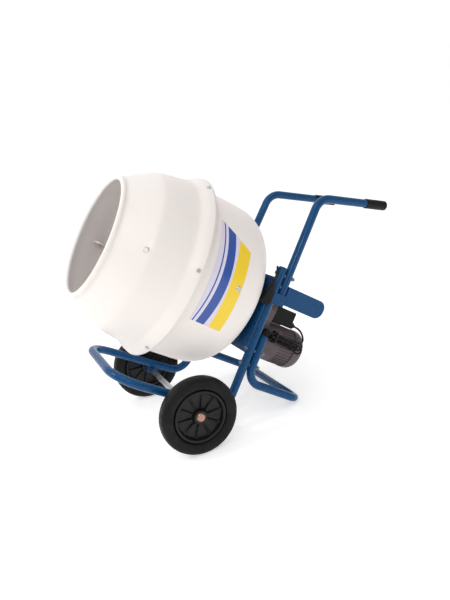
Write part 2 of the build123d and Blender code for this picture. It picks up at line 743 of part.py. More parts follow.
def make_drum_bowl():
    """Lower half of the drum: rim under the skirt, straight wall, rounded bottom."""
    outer = bowl_outer()
    inner = [(d, r - DRUM_WALL) for d, r in outer[:5]]
    inner += [(d - DRUM_WALL * 0.75, r - DRUM_WALL * 0.75) for d, r in outer[5:-1]]
    inner.append((BOTTOM_DEPTH - DRUM_WALL, BOTTOM_R - DRUM_WALL))
    bore = SHAFT_D / 2 + 1
    loop = outer + [(BOTTOM_DEPTH, bore), (BOTTOM_DEPTH - DRUM_WALL, bore)] + inner[::-1]
    with BuildPart() as bowl:
        with BuildSketch(side_plane()):
            with BuildLine():
                Polyline(*[(drum_t(d), DRUM_AXIS + r) for d, r in loop], close=True)
            make_face()
        revolve(axis=DRUM_LINE)
        with BuildSketch(cross_plane(drum_t(BOTTOM_DEPTH) + 1, DRUM_AXIS)):
            with PolarLocations(HUB_BOLT_CIRCLE, 6):
                Circle(BOLT_D / 2 + HOLE_CLEARANCE)
        extrude(amount=-DRUM_WALL - 2, mode=Mode.SUBTRACT)
        add(skin_holes(CONE_OUTER, BAND_ANGLES, BAND_BOLT_DEPTH, 3.2), mode=Mode.SUBTRACT)
        add(skin_holes(outer, PADDLE_ANGLES, PADDLE_BOLT_DEPTHS[1], 4.2), mode=Mode.SUBTRACT)
    save(bowl, "drum_bowl")


def make_drum_seal():
    """Rubber strip between the skirt and the rim of the bowl."""
    depths = (WAIST_DEPTH + 26, SKIRT_DEPTH - 16, SKIRT_DEPTH - 5)
    outer = [(d, skirt_inner(d) - 0.02) for d in depths]
    inner = [(d, skirt_inner(d) - SEAL_T) for d in reversed(depths)]
    with BuildPart() as seal:
        with BuildSketch(side_plane()):
            with BuildLine():
                Polyline(*[(drum_t(d), DRUM_AXIS + r) for d, r in outer + inner], close=True)
            make_face()
        revolve(axis=DRUM_LINE)
        add(skin_holes(CONE_OUTER, BAND_ANGLES, BAND_BOLT_DEPTH, 3.2), mode=Mode.SUBTRACT)
    save(seal, "drum_seal")


def make_band_bolts():
    """Button-head bolts through the skirt and the rim, and their nuts inside."""
    slope = outline_at(CONE_OUTER, BAND_BOLT_DEPTH)[1]
    reach = (2 * DRUM_WALL + SEAL_T) * math.cos(slope) + 0.4
    with BuildPart() as bolts:
        for angle in BAND_ANGLES:
            with BuildSketch(skin_plane(CONE_OUTER, angle, BAND_BOLT_DEPTH, sink=-0.4)):
                Circle(7)
            extrude(amount=3.2, taper=35)
            with BuildSketch(skin_plane(CONE_OUTER, angle, BAND_BOLT_DEPTH, sink=-0.4)):
                Circle(3)
            extrude(amount=-reach - 7)
            with BuildSketch(skin_plane(CONE_OUTER, angle, BAND_BOLT_DEPTH, sink=reach)):
                hexagon(10)
            extrude(amount=-5)
    save(bolts, "band_bolts")


PADDLE_T = 5.0
PADDLE_DEPTHS = (62.0, 455.0)
PADDLE_HEIGHT = 52.0
FOOT = 26.0
FOOT_SINK = 0.6             # flat foot inside a round wall


def half_outline(depth):
    """Outer outline of whichever drum half is at a depth."""
    if depth < WAIST_DEPTH:
        return CONE_OUTER
    return bowl_outer()


def blade_root(depth):
    """Radius of a blade's outer edge at a depth, just clear of the inner wall."""
    return min(outline_at(half_outline(depth), depth)[0], BOWL_R) - DRUM_WALL - 2.5


def make_paddle(angle, name):
    """Mixing blade: a radial strip with a folded foot under each of its two bolts."""
    depths = [PADDLE_DEPTHS[0], CONE_DEPTH, WAIST_DEPTH - 1, BOWL_ROUND, PADDLE_DEPTHS[1]]
    root = [(d, blade_root(d)) for d in depths]
    edge = [(d, r - PADDLE_HEIGHT) for d, r in reversed(root)]
    turn = math.radians(angle)
    out = Vector(SIN * math.sin(turn), -math.cos(turn), COS * math.sin(turn))
    plane = Plane(origin=place(drum_t(0), DRUM_AXIS), x_dir=REAR, z_dir=REAR.cross(out))
    with BuildPart() as paddle:
        with BuildSketch(plane) as blade:
            with BuildLine():
                Polyline(*root, *edge, close=True)
            make_face()
            front = blade.vertices().sort_by(Axis.X)[:2].sort_by(Axis.Y)[0]
            back = blade.vertices().sort_by(Axis.X)[-2:].sort_by(Axis.Y)[0]
            fillet([front, back], radius=18)
        extrude(amount=PADDLE_T / 2, both=True)
        for depth in PADDLE_BOLT_DEPTHS:
            foot = skin_plane(half_outline(depth), angle, depth, sink=DRUM_WALL + FOOT_SINK)
            with BuildSketch(foot):
                Circle(9)
            extrude(amount=-26, mode=Mode.SUBTRACT)
            with BuildSketch(foot):
                Rectangle(FOOT, FOOT)
                Circle(4.3, mode=Mode.SUBTRACT)
            extrude(amount=-PADDLE_T)
    save(paddle, name)


def make_paddle_bolts():
    """Domed bolts that hold the paddles, with nuts on their feet."""
    with BuildPart() as bolts:
        for angle in PADDLE_ANGLES:
            for depth in PADDLE_BOLT_DEPTHS:
                outline = half_outline(depth)
                through = DRUM_WALL + FOOT_SINK + PADDLE_T
                with BuildSketch(skin_plane(outline, angle, depth)):
                    Circle(9)
                extrude(amount=4, taper=40)
                with BuildSketch(skin_plane(outline, angle, depth)):
                    Circle(4)
                extrude(amount=-through - 10)
                with BuildSketch(skin_plane(outline, angle, depth, sink=through)):
                    hexagon()
                extrude(amount=-6)
    save(bolts, "paddle_bolts")


def make_drum_hub():
    """Flanged drum shaft, the disc inside the drum and the six bolts between them."""
    bottom = drum_t(BOTTOM_DEPTH)
    inside = bottom - DRUM_WALL - HUB_FLANGE_T
    with BuildPart() as shaft:
        with BuildSketch(cross_plane(bottom, DRUM_AXIS)):
            Circle(HUB_FLANGE_R)
            with PolarLocations(HUB_BOLT_CIRCLE, 6):
                Circle(BOLT_D / 2 + HOLE_CLEARANCE, mode=Mode.SUBTRACT)
        extrude(amount=HUB_FLANGE_T)
        with BuildSketch(cross_plane(bottom, DRUM_AXIS)):
            Circle(SHAFT_D / 2)
        extrude(amount=REAR_BEARING_T[0] - 4 - bottom)
        with BuildSketch(cross_plane(REAR_BEARING_T[0] - 4, DRUM_AXIS)):
            Circle(LAY_SHAFT_D / 2)
        extrude(amount=REAR_BEARING_T[1] - REAR_BEARING_T[0] + 3)
    save(shaft, "drum_shaft")
    with BuildPart() as disc:
        with BuildSketch(cross_plane(inside, DRUM_AXIS)):
            Circle(HUB_FLANGE_R)
            with PolarLocations(HUB_BOLT_CIRCLE, 6):
                Circle(BOLT_D / 2 + HOLE_CLEARANCE, mode=Mode.SUBTRACT)
        extrude(amount=HUB_FLANGE_T)
    save(disc, "hub_disc")
    with BuildPart() as bolts:
        for index in range(6):
            turn = math.radians(60 * index)
            y, s = HUB_BOLT_CIRCLE * math.cos(turn), DRUM_AXIS + HUB_BOLT_CIRCLE * math.sin(turn)
            with BuildSketch(cross_plane(inside, s, y)):
                hexagon()
            extrude(amount=-HEAD_H)
            with BuildSketch(cross_plane(inside, s, y)):
                Circle(BOLT_D / 2)
            extrude(amount=DRUM_WALL + 2 * HUB_FLANGE_T)
    save(bolts, "hub_bolts")


def make_gears():
    """Drum gear, and the layshaft with its cut pinion and its large gear."""
    drum_teeth, lay_teeth = STAGE2_TEETH[1], STAGE2_TEETH[0]
    with BuildPart() as drum_gear:
        with BuildSketch(cross_plane(STAGE2_T[0], DRUM_AXIS)):
            with BuildLine():
                Polyline(*gear_outline(STAGE2_MODULE, drum_teeth, DRUM_TO_LAY), close=True)
            make_face()
            Circle(SHAFT_D / 2, mode=Mode.SUBTRACT)
        extrude(amount=STAGE2_T[1] - STAGE2_T[0])
    save(drum_gear, "drum_gear")
    with BuildPart() as layshaft:
        with BuildSketch(cross_plane(STAGE2_T[0], LAY_S, LAY_Y)):
            with BuildLine():
                phase = LAY_TO_DRUM + 180 / lay_teeth
                Polyline(*gear_outline(STAGE2_MODULE, lay_teeth, phase), close=True)
            make_face()
        extrude(amount=STAGE2_T[1] - STAGE2_T[0] + 2)
        with BuildSketch(cross_plane(FRONT_BEARING_T[0] + 1, LAY_S, LAY_Y)):
            Circle(LAY_SHAFT_D / 2)
        extrude(amount=REAR_BEARING_T[1] - FRONT_BEARING_T[0] - 2)
    save(layshaft, "layshaft")
    with BuildPart() as big:
        with BuildSketch(cross_plane(STAGE1_T[0], LAY_S, LAY_Y)):
            with BuildLine():
                Polyline(*gear_outline(STAGE1_MODULE, STAGE1_TEETH[1], LAY_TO_MOTOR), close=True)
            make_face()
            Circle(LAY_SHAFT_D / 2, mode=Mode.SUBTRACT)
        extrude(amount=STAGE1_T[1] - STAGE1_T[0])
    save(big, "layshaft_gear")


# ---------------------------------------------------------------- motor
COVER_WALL = 3.0
DOME_R = 30.0
ROTOR_D = 15.0
BELL_BEARING_T = (CASE_REAR + 10, CASE_REAR + 21)
TAIL_BEARING_T = (STATOR_REAR + 1, STATOR_REAR + 9)
STATOR_OUTER = MOTOR_R - 6.0
STATOR_INNER = 36.0
ROTOR_GAP = 0.6
FINS = 36


def make_motor_bell():
    """Front end shield of the motor, with the pad under the switch box."""
    with BuildPart() as bell:
        with BuildSketch(cross_plane(CASE_REAR, MOTOR_S)):
            Circle(MOTOR_R)
        extrude(amount=BELL_REAR - CASE_REAR)
        fillet(bell.faces().sort_by(Axis(place(0, 0), REAR))[0].edges(), radius=10)
        with BuildSketch(cross_plane(BOX_FRONT + 4, MOTOR_S)):
            with Locations((0, MOTOR_R - 8)):
                Rectangle(44, 2 * (BOX_LOW - MOTOR_S - MOTOR_R + 8))
        extrude(amount=BELL_REAR - BOX_FRONT - 8)
        with BuildSketch(cross_plane(CASE_REAR + BELL_FLOOR, MOTOR_S)):
            Circle(STATOR_OUTER)
        extrude(amount=BELL_REAR - CASE_REAR, mode=Mode.SUBTRACT)
        with BuildSketch(cross_plane(BELL_BEARING_T[0], MOTOR_S)):
            Circle(LAY_BEARING_R)
        extrude(amount=30, mode=Mode.SUBTRACT)
        with BuildSketch(cross_plane(CASE_REAR)):
            with Locations((0, MOTOR_S)):
                Circle(ROTOR_D / 2 + 2)
            with Locations(*MOTOR_BOLTS):
                Circle(3.3)
        extrude(amount=30, mode=Mode.SUBTRACT)
    save(bell, "motor_bell")


def make_motor_housing():
    """Finned stator housing."""
    with BuildPart() as housing:
        with BuildSketch(cross_plane(BELL_REAR, MOTOR_S)):
            Circle(MOTOR_R - 2.5)
            with PolarLocations(MOTOR_R - 2.4, FINS):
                Rectangle(6, 2.6)
            Circle(STATOR_OUTER, mode=Mode.SUBTRACT)
        extrude(amount=STATOR_REAR - BELL_REAR)
    save(housing, "motor_housing")


def make_fan_cover():
    """Domed rear cover over the fan, with air slots."""
    outer = MOTOR_S + MOTOR_R + 2
    bend_t, bend_s = MOTOR_REAR - DOME_R, outer - DOME_R
    inside = MOTOR_REAR - COVER_WALL
    with BuildPart() as cover:
        with BuildSketch(side_plane()):
            with BuildLine():
                Line((STATOR_REAR, outer), (bend_t, outer))
                CenterArc((bend_t, bend_s), DOME_R, 0, 90)
                Polyline((MOTOR_REAR, bend_s), (MOTOR_REAR, MOTOR_S), (inside, MOTOR_S), (inside, bend_s))
                CenterArc((bend_t, bend_s), DOME_R - COVER_WALL, 0, 90)
                Polyline((bend_t, outer - COVER_WALL), (STATOR_REAR, outer - COVER_WALL), (STATOR_REAR, outer))
            make_face()
        revolve(axis=Axis(place(0, MOTOR_S), REAR))
        with BuildSketch(cross_plane(MOTOR_REAR, MOTOR_S)):
            with PolarLocations(24, 12):
                SlotOverall(20, 4)
        extrude(amount=-2 * COVER_WALL, mode=Mode.SUBTRACT)
    save(cover, "motor_fan_cover")


def make_tail_shield():
    """Rear bearing shield inside the fan cover."""
    with BuildPart() as shield:
        with BuildSketch(cross_plane(STATOR_REAR, MOTOR_S)):
            Circle(MOTOR_R + 2 - COVER_WALL - 0.02)
        extrude(amount=10)
        with BuildSketch(cross_plane(TAIL_BEARING_T[0], MOTOR_S)):
            Circle(LAY_BEARING_R)
        extrude(amount=10, mode=Mode.SUBTRACT)
        with BuildSketch(cross_plane(STATOR_REAR, MOTOR_S)):
            Circle(ROTOR_D / 2 + 2)
        extrude(amount=10, mode=Mode.SUBTRACT)
    save(shield, "motor_tail_shield")


def make_stator():
    """Laminated stator with its winding heads at both ends."""
    with BuildPart() as stator:
        with BuildSketch(cross_plane(BELL_REAR + 1, MOTOR_S)):
            Circle(STATOR_OUTER - 0.05)
            Circle(STATOR_INNER, mode=Mode.SUBTRACT)
        extrude(amount=STATOR_REAR - BELL_REAR - 2)
        with BuildSketch(cross_plane(BELL_REAR + 1, MOTOR_S)):
            Circle(STATOR_OUTER - 5)
            Circle(STATOR_INNER + 4, mode=Mode.SUBTRACT)
        extrude(amount=-16)
    save(stator, "stator")


def make_rotor():
    """Rotor with its shaft, motor pinion and cooling fan."""
    with BuildPart() as shaft:
        with BuildSketch(cross_plane(STAGE1_T[0], MOTOR_S)):
            with BuildLine():
                phase = MOTOR_TO_LAY + 180 / STAGE1_TEETH[0]
                Polyline(*gear_outline(STAGE1_MODULE, STAGE1_TEETH[0], phase), close=True)
            make_face()
        extrude(amount=STAGE1_T[1] - STAGE1_T[0] + 2)
        with BuildSketch(cross_plane(STAGE1_T[1] + 1, MOTOR_S)):
            Circle(ROTOR_D / 2)
        extrude(amount=MOTOR_REAR - 16 - STAGE1_T[1])
    save(shaft, "rotor_shaft")
    with BuildPart() as rotor:
        with BuildSketch(cross_plane(BELL_REAR + 2, MOTOR_S)):
            Circle(STATOR_INNER - ROTOR_GAP)
            Circle(ROTOR_D / 2, mode=Mode.SUBTRACT)
        extrude(amount=STATOR_REAR - BELL_REAR - 4)
    save(rotor, "rotor_core")
    with BuildPart() as fan:
        with BuildSketch(cross_plane(STATOR_REAR + 13, MOTOR_S)):
            Circle(54)
            Circle(ROTOR_D / 2, mode=Mode.SUBTRACT)
        extrude(amount=2)
        with BuildSketch(cross_plane(STATOR_REAR + 15, MOTOR_S)):
            with PolarLocations(35, 8):
                Rectangle(34, 2.5)
            Circle(14)
            Circle(ROTOR_D / 2, mode=Mode.SUBTRACT)
        extrude(amount=10)
    save(fan, "motor_fan")


def make_motor_bolts():
    """Four bolts from inside the gear cover that hold the motor bell."""
    with BuildPart() as bolts:
        for y, s in MOTOR_BOLTS:
            with BuildSketch(cross_plane(CASE_REAR - CASE_WALL, s, y)):
                Circle(3)
            extrude(amount=CASE_WALL + BELL_FLOOR + 6)
            with BuildSketch(cross_plane(CASE_REAR - CASE_WALL, s, y)):
                hexagon(10)
            extrude(amount=-4)
            with BuildSketch(cross_plane(CASE_REAR + BELL_FLOOR, s, y)):
                hexagon(10)
            extrude(amount=5)
    save(bolts, "motor_bolts")


# ---------------------------------------------------------------- switch box
BOX_MID = (BOX_LOW + BOX_HIGH) / 2
LID_FRONT = BOX_REAR - LID_T
BUTTON_R = 8.0
BUTTON_S = BOX_MID + 8
BUTTON_Y = 14.0
BUTTON_OUT = 4.0
GLAND_S = BOX_LOW + 12.0
GLAND_Y = -13.0
CORNER_BOSS = 5.0


def make_switch_box():
    """Moulded box on the motor, open to the rear."""
    with BuildPart() as box:
        with BuildSketch(cross_plane(BOX_FRONT, BOX_MID)) as outline:
            Rectangle(2 * BOX_HALF, BOX_HIGH - BOX_LOW)
            fillet(outline.vertices(), radius=5)
        extrude(amount=LID_FRONT - BOX_FRONT)
        with BuildSketch(cross_plane(BOX_FRONT + BOX_WALL, BOX_MID)) as inside:
            Rectangle(2 * (BOX_HALF - BOX_WALL), BOX_HIGH - BOX_LOW - 2 * BOX_WALL)
            fillet(inside.vertices(), radius=3)
        extrude(amount=LID_FRONT - BOX_FRONT, mode=Mode.SUBTRACT)
        with BuildSketch(cross_plane(BOX_FRONT, BOX_MID)):
            with GridLocations(2 * (BOX_HALF - 7), BOX_HIGH - BOX_LOW - 14, 2, 2):
                Circle(CORNER_BOSS)
        extrude(amount=LID_FRONT - BOX_FRONT)
        with BuildSketch(cross_plane(LID_FRONT, BOX_MID)):
            with GridLocations(2 * (BOX_HALF - 7), BOX_HIGH - BOX_LOW - 14, 2, 2):
                Circle(1.6)
        extrude(amount=-20, mode=Mode.SUBTRACT)
    save(box, "switch_box")


def make_switch_cover():
    """Rear cover of the switch box, with the button bores and the gland bore."""
    with BuildPart() as cover:
        with BuildSketch(cross_plane(LID_FRONT, BOX_MID)) as outline:
            Rectangle(2 * BOX_HALF, BOX_HIGH - BOX_LOW)
            fillet(outline.vertices(), radius=5)
        extrude(amount=LID_T)
        rear = cover.faces().sort_by(Axis(place(0, 0), REAR))[-1]
        fillet(rear.edges(), radius=2.5)
        with BuildSketch(cross_plane(LID_FRONT, BOX_MID)) as inside:
            Rectangle(2 * (BOX_HALF - BOX_WALL), BOX_HIGH - BOX_LOW - 2 * BOX_WALL)
            fillet(inside.vertices(), radius=3)
        extrude(amount=LID_T - BOX_WALL, mode=Mode.SUBTRACT)
        with BuildSketch(cross_plane(LID_FRONT, BOX_MID)):
            with GridLocations(2 * (BOX_HALF - 7), BOX_HIGH - BOX_LOW - 14, 2, 2):
                Circle(CORNER_BOSS)
        extrude(amount=LID_T - 1)
        with BuildSketch(cross_plane(LID_FRONT)):
            for side in (-1, 1):
                with Locations((side * BUTTON_Y, BUTTON_S)):
                    Circle(BUTTON_R + 0.4)
            with Locations((GLAND_Y, GLAND_S)):
                Circle(5.5)
        extrude(amount=LID_T + 1, mode=Mode.SUBTRACT)
        with BuildSketch(cross_plane(LID_FRONT, BOX_MID)):
            with GridLocations(2 * (BOX_HALF - 7), BOX_HIGH - BOX_LOW - 14, 2, 2):
                Circle(2.1)
        extrude(amount=LID_T, mode=Mode.SUBTRACT)
    save(cover, "switch_cover")


def make_switch_screws():
    """Four pan-head screws in the corners of the cover."""
    with BuildPart() as screws:
        with BuildSketch(cross_plane(BOX_REAR, BOX_MID)):
            with GridLocations(2 * (BOX_HALF - 7), BOX_HIGH - BOX_LOW - 14, 2, 2):
                Circle(3.4)
        extrude(amount=1.8, taper=25)
        with BuildSketch(cross_plane(BOX_REAR, BOX_MID)):
            with GridLocations(2 * (BOX_HALF - 7), BOX_HIGH - BOX_LOW - 14, 2, 2):
                Circle(1.55)
        extrude(amount=-26)
    save(screws, "switch_screws")


def make_button(side, name):
    """Push button with a retaining collar inside the cover."""
    inner = BOX_REAR - BOX_WALL - 7
    collar = BOX_REAR - BOX_WALL - 0.3
    with BuildPart() as button:
        with BuildSketch(cross_plane(inner, BUTTON_S, side * BUTTON_Y)):
            Circle(BUTTON_R)
        extrude(amount=BOX_REAR + BUTTON_OUT - inner)
        rear = button.faces().sort_by(Axis(place(0, 0), REAR))[-1]
        fillet(rear.edges(), radius=1)
        with BuildSketch(cross_plane(collar, BUTTON_S, side * BUTTON_Y)):
            Circle(BUTTON_R + 2)
        extrude(amount=-2)
    save(button, name)


def make_switch_insides():
    """Contact block behind the buttons and the motor's run capacitor."""
    block_s = BOX_HIGH - BOX_WALL - 15.02
    with BuildPart() as block:
        with BuildSketch(cross_plane(BOX_REAR - BOX_WALL - 30.5, block_s)):
            Rectangle(44, 30)
        extrude(amount=20)
    save(block, "contact_block")
    with BuildPart() as capacitor:
        with BuildSketch(cross_plane(BOX_FRONT + BOX_WALL + 2, BOX_LOW + BOX_WALL + 18.02)):
            Circle(18)
        extrude(amount=58)
        fillet(capacitor.edges().filter_by(GeomType.CIRCLE), radius=2)
    save(capacitor, "run_capacitor")


# ---------------------------------------------------------------- mains lead
GLAND_LENGTH = 24.0
HANK_LOW = 251.0
HANK_HIGH = 287.0
HANK_T = (88.0, 258.0)
HANK_Y = (-99.0, -75.0)


def make_gland():
    """Tapered strain relief with its nut, in the lower corner of the cover."""
    with BuildPart() as gland:
        with BuildSketch(cross_plane(BOX_REAR, GLAND_S, GLAND_Y)):
            hexagon(17)
        extrude(amount=7)
        with BuildSketch(cross_plane(BOX_REAR + 7, GLAND_S, GLAND_Y)):
            Circle(8)
        with BuildSketch(cross_plane(BOX_REAR + GLAND_LENGTH, GLAND_S, GLAND_Y)):
            Circle(CORD_D / 2 + 1.2)
        loft()
        with BuildSketch(cross_plane(BOX_REAR, GLAND_S, GLAND_Y)):
            Circle(5.3)
        extrude(amount=-BOX_WALL - 4)
    save(gland, "cable_gland")


LEAD_LOOP = [
    (BOX_REAR + GLAND_LENGTH, GLAND_S, GLAND_Y),
    (BOX_REAR + GLAND_LENGTH + 14, GLAND_S, GLAND_Y),
    (BOX_REAR + GLAND_LENGTH + 26, GLAND_S - 7, GLAND_Y - 18),
    (BOX_REAR + GLAND_LENGTH + 28, GLAND_S - 25, GLAND_Y - 44),
    (BOX_REAR + GLAND_LENGTH + 18, GLAND_S - 45, GLAND_Y - 66),
    (BOX_REAR + GLAND_LENGTH + 2, 272.0, -87.0),
    (HANK_T[1] - 32, 269.0, -87.0),
]
PLUG_T = -28.0
PLUG_Y = -204.0
PLUG_TOP = 452.0
LEAD_END = [
    (HANK_T[0] + 4, 271.0, -87.0),
    (HANK_T[0] - 22, 273.0, -90.0),
    (44.0, 296.0, -106.0),
    (30.0, 334.0, -119.0),
    (26.0, 382.0, -127.0),
    (25.0, 430.0, -134.0),
    (14.0, 468.0, -143.0),
    (-10.0, 491.0, -160.0),
    (PLUG_T, 493.0, -188.0),
    (PLUG_T, 474.0, PLUG_Y),
    (PLUG_T, PLUG_TOP, PLUG_Y),
]


def cord_radii(points):
    """Largest arc at each corner: 0.45 of the shorter run over the tangent of half the turn."""
    radii = []
    for before, corner, after in zip(points, points[1:], points[2:]):
        run_in, run_out = corner - before, after - corner
        half_turn = math.radians(run_in.get_angle(run_out)) / 2
        radii.append(0.45 * min(run_in.length, run_out.length) / math.tan(half_turn))
    return radii


def make_cord(stations, name):
    """Plain tube of the mains lead along its route."""
    points = [place(t, s, y) for t, s, y in stations]
    radii = cord_radii(points)
    with BuildPart() as cord:
        add(tube_along(points, radii, diameter=CORD_D, wall=0))
    length = cord.part.volume / (math.pi * CORD_D**2 / 4)
    print(name, "radii", [round(r, 1) for r in radii], "length", round(length, 1))
    save(cord, name)


def make_hank():
    """Outer shape of the tied hank of mains lead on the motor's side."""
    mid_s, mid_y = (HANK_LOW + HANK_HIGH) / 2, sum(HANK_Y) / 2
    with BuildPart() as hank:
        with BuildSketch(cross_plane(HANK_T[0], mid_s, mid_y)):
            SlotOverall(HANK_HIGH - HANK_LOW, HANK_Y[1] - HANK_Y[0], rotation=90)
        extrude(amount=HANK_T[1] - HANK_T[0])
        fillet(hank.edges().sort_by(Axis(place(0, 0), REAR))[-4:], radius=9)
    save(hank, "lead_hank")


def make_plug():
    """Angled mains plug hanging by its lead outside the left upright, pins inwards."""
    disc_s = PLUG_TOP - 72
    disc_r = 17.0
    thick = 20.0
    face = Plane(origin=place(PLUG_T, 0, PLUG_Y - thick / 2), x_dir=REAR, z_dir=(0, 1, 0))
    up_sign = face.y_dir.dot(UP)
    with BuildPart() as plug:
        with BuildSketch(face):
            with Locations((0, up_sign * disc_s)):
                Circle(disc_r)
            with Locations((0, up_sign * (disc_s + 40))):
                Circle(9)
            make_hull()
        extrude(amount=thick)
        fillet(plug.edges(), radius=3)
        with BuildSketch(Plane(origin=place(PLUG_T, PLUG_TOP - 30, PLUG_Y), z_dir=UP)):
            Circle(8)
        with BuildSketch(Plane(origin=place(PLUG_T, PLUG_TOP, PLUG_Y), z_dir=UP)):
            Circle(CORD_D / 2 + 0.8)
        loft()
        for rise in (-9.5, 9.5):
            with BuildSketch(face.offset(thick)):
                with Locations((0, up_sign * (disc_s + rise))):
                    Circle(2.4)
            extrude(amount=19)
    save(plug, "mains_plug")


# ---------------------------------------------------------------- wheels
RIBS = 10


def make_wheel(side, word):
    """Wheel of moulded rim and solid rubber tyre, turning on the axle."""
    y = side * TRACK_HALF
    plane = Plane(origin=(AXLE_X, y, WHEEL_R), x_dir=(1, 0, 0), z_dir=(0, side, 0))
    line = Axis((AXLE_X, 0, WHEEL_R), (0, 1, 0))
    web = 5.0
    with BuildPart() as rim:
        with BuildSketch(plane):
            Circle(RIM_R)
        extrude(amount=RIM_WIDTH / 2, both=True)
        for outward in (-1, 1):
            with BuildSketch(plane.offset(outward * RIM_WIDTH / 2)):
                Circle(RIM_R - 8)
                Circle(HUB_R, mode=Mode.SUBTRACT)
            extrude(amount=-outward * (RIM_WIDTH - web) / 2, mode=Mode.SUBTRACT)
        with BuildSketch(plane):
            with PolarLocations((HUB_R + RIM_R - 6) / 2, RIBS):
                Rectangle(RIM_R - HUB_R - 4, 4)
        extrude(amount=RIM_WIDTH / 2 - 6, both=True)
        for outward in (-1, 1):
            with BuildSketch(plane.offset(outward * HUB_LENGTH / 2)):
                Circle(HUB_R + 1)
            extrude(amount=outward * RIM_WIDTH, mode=Mode.SUBTRACT)
        with BuildSketch(plane):
            Circle(AXLE_D / 2 + FIT)
        extrude(amount=RIM_WIDTH, both=True, mode=Mode.SUBTRACT)
    save(rim, f"wheel_rim_{word}")
    half = TYRE_WIDTH / 2
    with BuildPart() as tyre:
        with BuildSketch(Plane(origin=(AXLE_X, y, WHEEL_R), x_dir=(0, 1, 0), z_dir=(1, 0, 0))):
            with BuildLine():
                seat = RIM_WIDTH / 2
                Line((-seat, RIM_R), (seat, RIM_R))
                ThreePointArc((seat, RIM_R), (half, RIM_R + 14), (half - 4, WHEEL_R - 10))
                ThreePointArc((half - 4, WHEEL_R - 10), (0, WHEEL_R), (4 - half, WHEEL_R - 10))
                ThreePointArc((4 - half, WHEEL_R - 10), (-half, RIM_R + 14), (-seat, RIM_R))
            make_face()
        revolve(axis=line)
    save(tyre, f"tyre_{word}")


def make_axle_ends():
    """Push-on domed caps outside the wheels, and washers inside them."""
    outer = TRACK_HALF + HUB_LENGTH / 2 + CAP_GAP
    with BuildPart() as caps:
        for side in (-1, 1):
            plane = Plane(origin=(AXLE_X, side * outer, WHEEL_R), z_dir=(0, side, 0))
            with BuildSketch(plane):
                Circle(19)
            extrude(amount=CAP_BASE)
            with BuildSketch(plane.offset(CAP_BASE)):
                Circle(17)
            extrude(amount=CAP_RISE, taper=38)
            with BuildSketch(plane):
                Circle(AXLE_D / 2 + 0.02)
            extrude(amount=CAP_BASE / 2, mode=Mode.SUBTRACT)
    save(caps, "axle_caps")
    inner = TRACK_HALF - HUB_LENGTH / 2 - CAP_GAP
    with BuildPart() as washers:
        for side in (-1, 1):
            plane = Plane(origin=(AXLE_X, side * inner, WHEEL_R), z_dir=(0, -side, 0))
            with BuildSketch(plane):
                Circle(18)
                Circle(AXLE_D / 2 + 0.02, mode=Mode.SUBTRACT)
            extrude(amount=3)
    save(washers, "axle_washers")


def build_all():
    """Make every piece in the order of assembly."""
    make_main_frame()
    make_rear_stand()
    make_tube_caps()
    make_axle()
    make_axle_brackets()
    for side, word in ((-1, "left"), (1, "right")):
        make_handle(side, f"handle_tube_{word}")
        make_grip(side, f"handle_grip_{word}")
        make_wheel(side, word)
    make_axle_ends()
    make_frame_bolts()
    make_frame_nuts()
    make_spacers()
    make_handle_sockets()
    make_drive_plate()
    make_motor_guard()
    make_gearbox_case()
    make_gearbox_cover()
    make_case_bolts()
    make_bearings()
    make_shaft_seal()
    make_drum_cone()
    make_drum_bowl()
    make_drum_seal()
    make_band_bolts()
    make_paddle(PADDLE_ANGLES[0], "mixing_paddle_1")
    make_paddle(PADDLE_ANGLES[1], "mixing_paddle_2")
    make_paddle_bolts()
    make_drum_hub()
    make_gears()
    make_motor_bell()
    make_motor_housing()
    make_fan_cover()
    make_tail_shield()
    make_stator()
    make_rotor()
    make_motor_bolts()
    make_switch_box()
    make_switch_cover()
    make_switch_screws()
    make_button(-1, "start_button")
    make_button(1, "stop_button")
    make_switch_insides()
    make_gland()
    make_cord(LEAD_LOOP, "lead_loop")
    make_hank()
    make_cord(LEAD_END, "lead_end")
    make_plug()


build_all()
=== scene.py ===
"""Looks of a wheelbarrow concrete mixer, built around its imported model.

Everything is in metres in the row frame: X along the machine towards the push handles,
Y across it, Z up.  Most places are given in the machine's own leaning frame, where t
runs rearwards along the drum shaft, s up the uprights and y across.
"""

import json
import logging
import math
from dataclasses import dataclass, field
from enum import Enum

import bpy
import numpy as np
from mathutils import Matrix, Vector


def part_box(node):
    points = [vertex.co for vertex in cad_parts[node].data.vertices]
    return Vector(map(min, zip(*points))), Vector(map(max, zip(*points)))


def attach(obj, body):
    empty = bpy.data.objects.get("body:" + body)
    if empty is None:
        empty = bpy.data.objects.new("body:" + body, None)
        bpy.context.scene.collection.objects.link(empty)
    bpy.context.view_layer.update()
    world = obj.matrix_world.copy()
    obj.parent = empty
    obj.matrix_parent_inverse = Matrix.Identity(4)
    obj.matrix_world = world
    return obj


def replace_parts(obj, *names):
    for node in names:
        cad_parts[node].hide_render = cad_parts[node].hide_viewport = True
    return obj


LOG = logging.getLogger("mixer")
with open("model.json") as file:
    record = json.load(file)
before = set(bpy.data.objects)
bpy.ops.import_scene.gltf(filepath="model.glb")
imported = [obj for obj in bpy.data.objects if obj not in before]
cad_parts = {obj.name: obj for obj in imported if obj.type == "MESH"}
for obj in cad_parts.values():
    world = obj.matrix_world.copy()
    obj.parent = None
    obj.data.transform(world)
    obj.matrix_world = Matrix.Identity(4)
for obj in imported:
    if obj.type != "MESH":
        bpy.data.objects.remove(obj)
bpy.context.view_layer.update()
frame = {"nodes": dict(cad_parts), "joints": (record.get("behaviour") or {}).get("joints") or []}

MM = 0.001
TAU = 2.0 * math.pi
Colour = tuple[float, float, float]


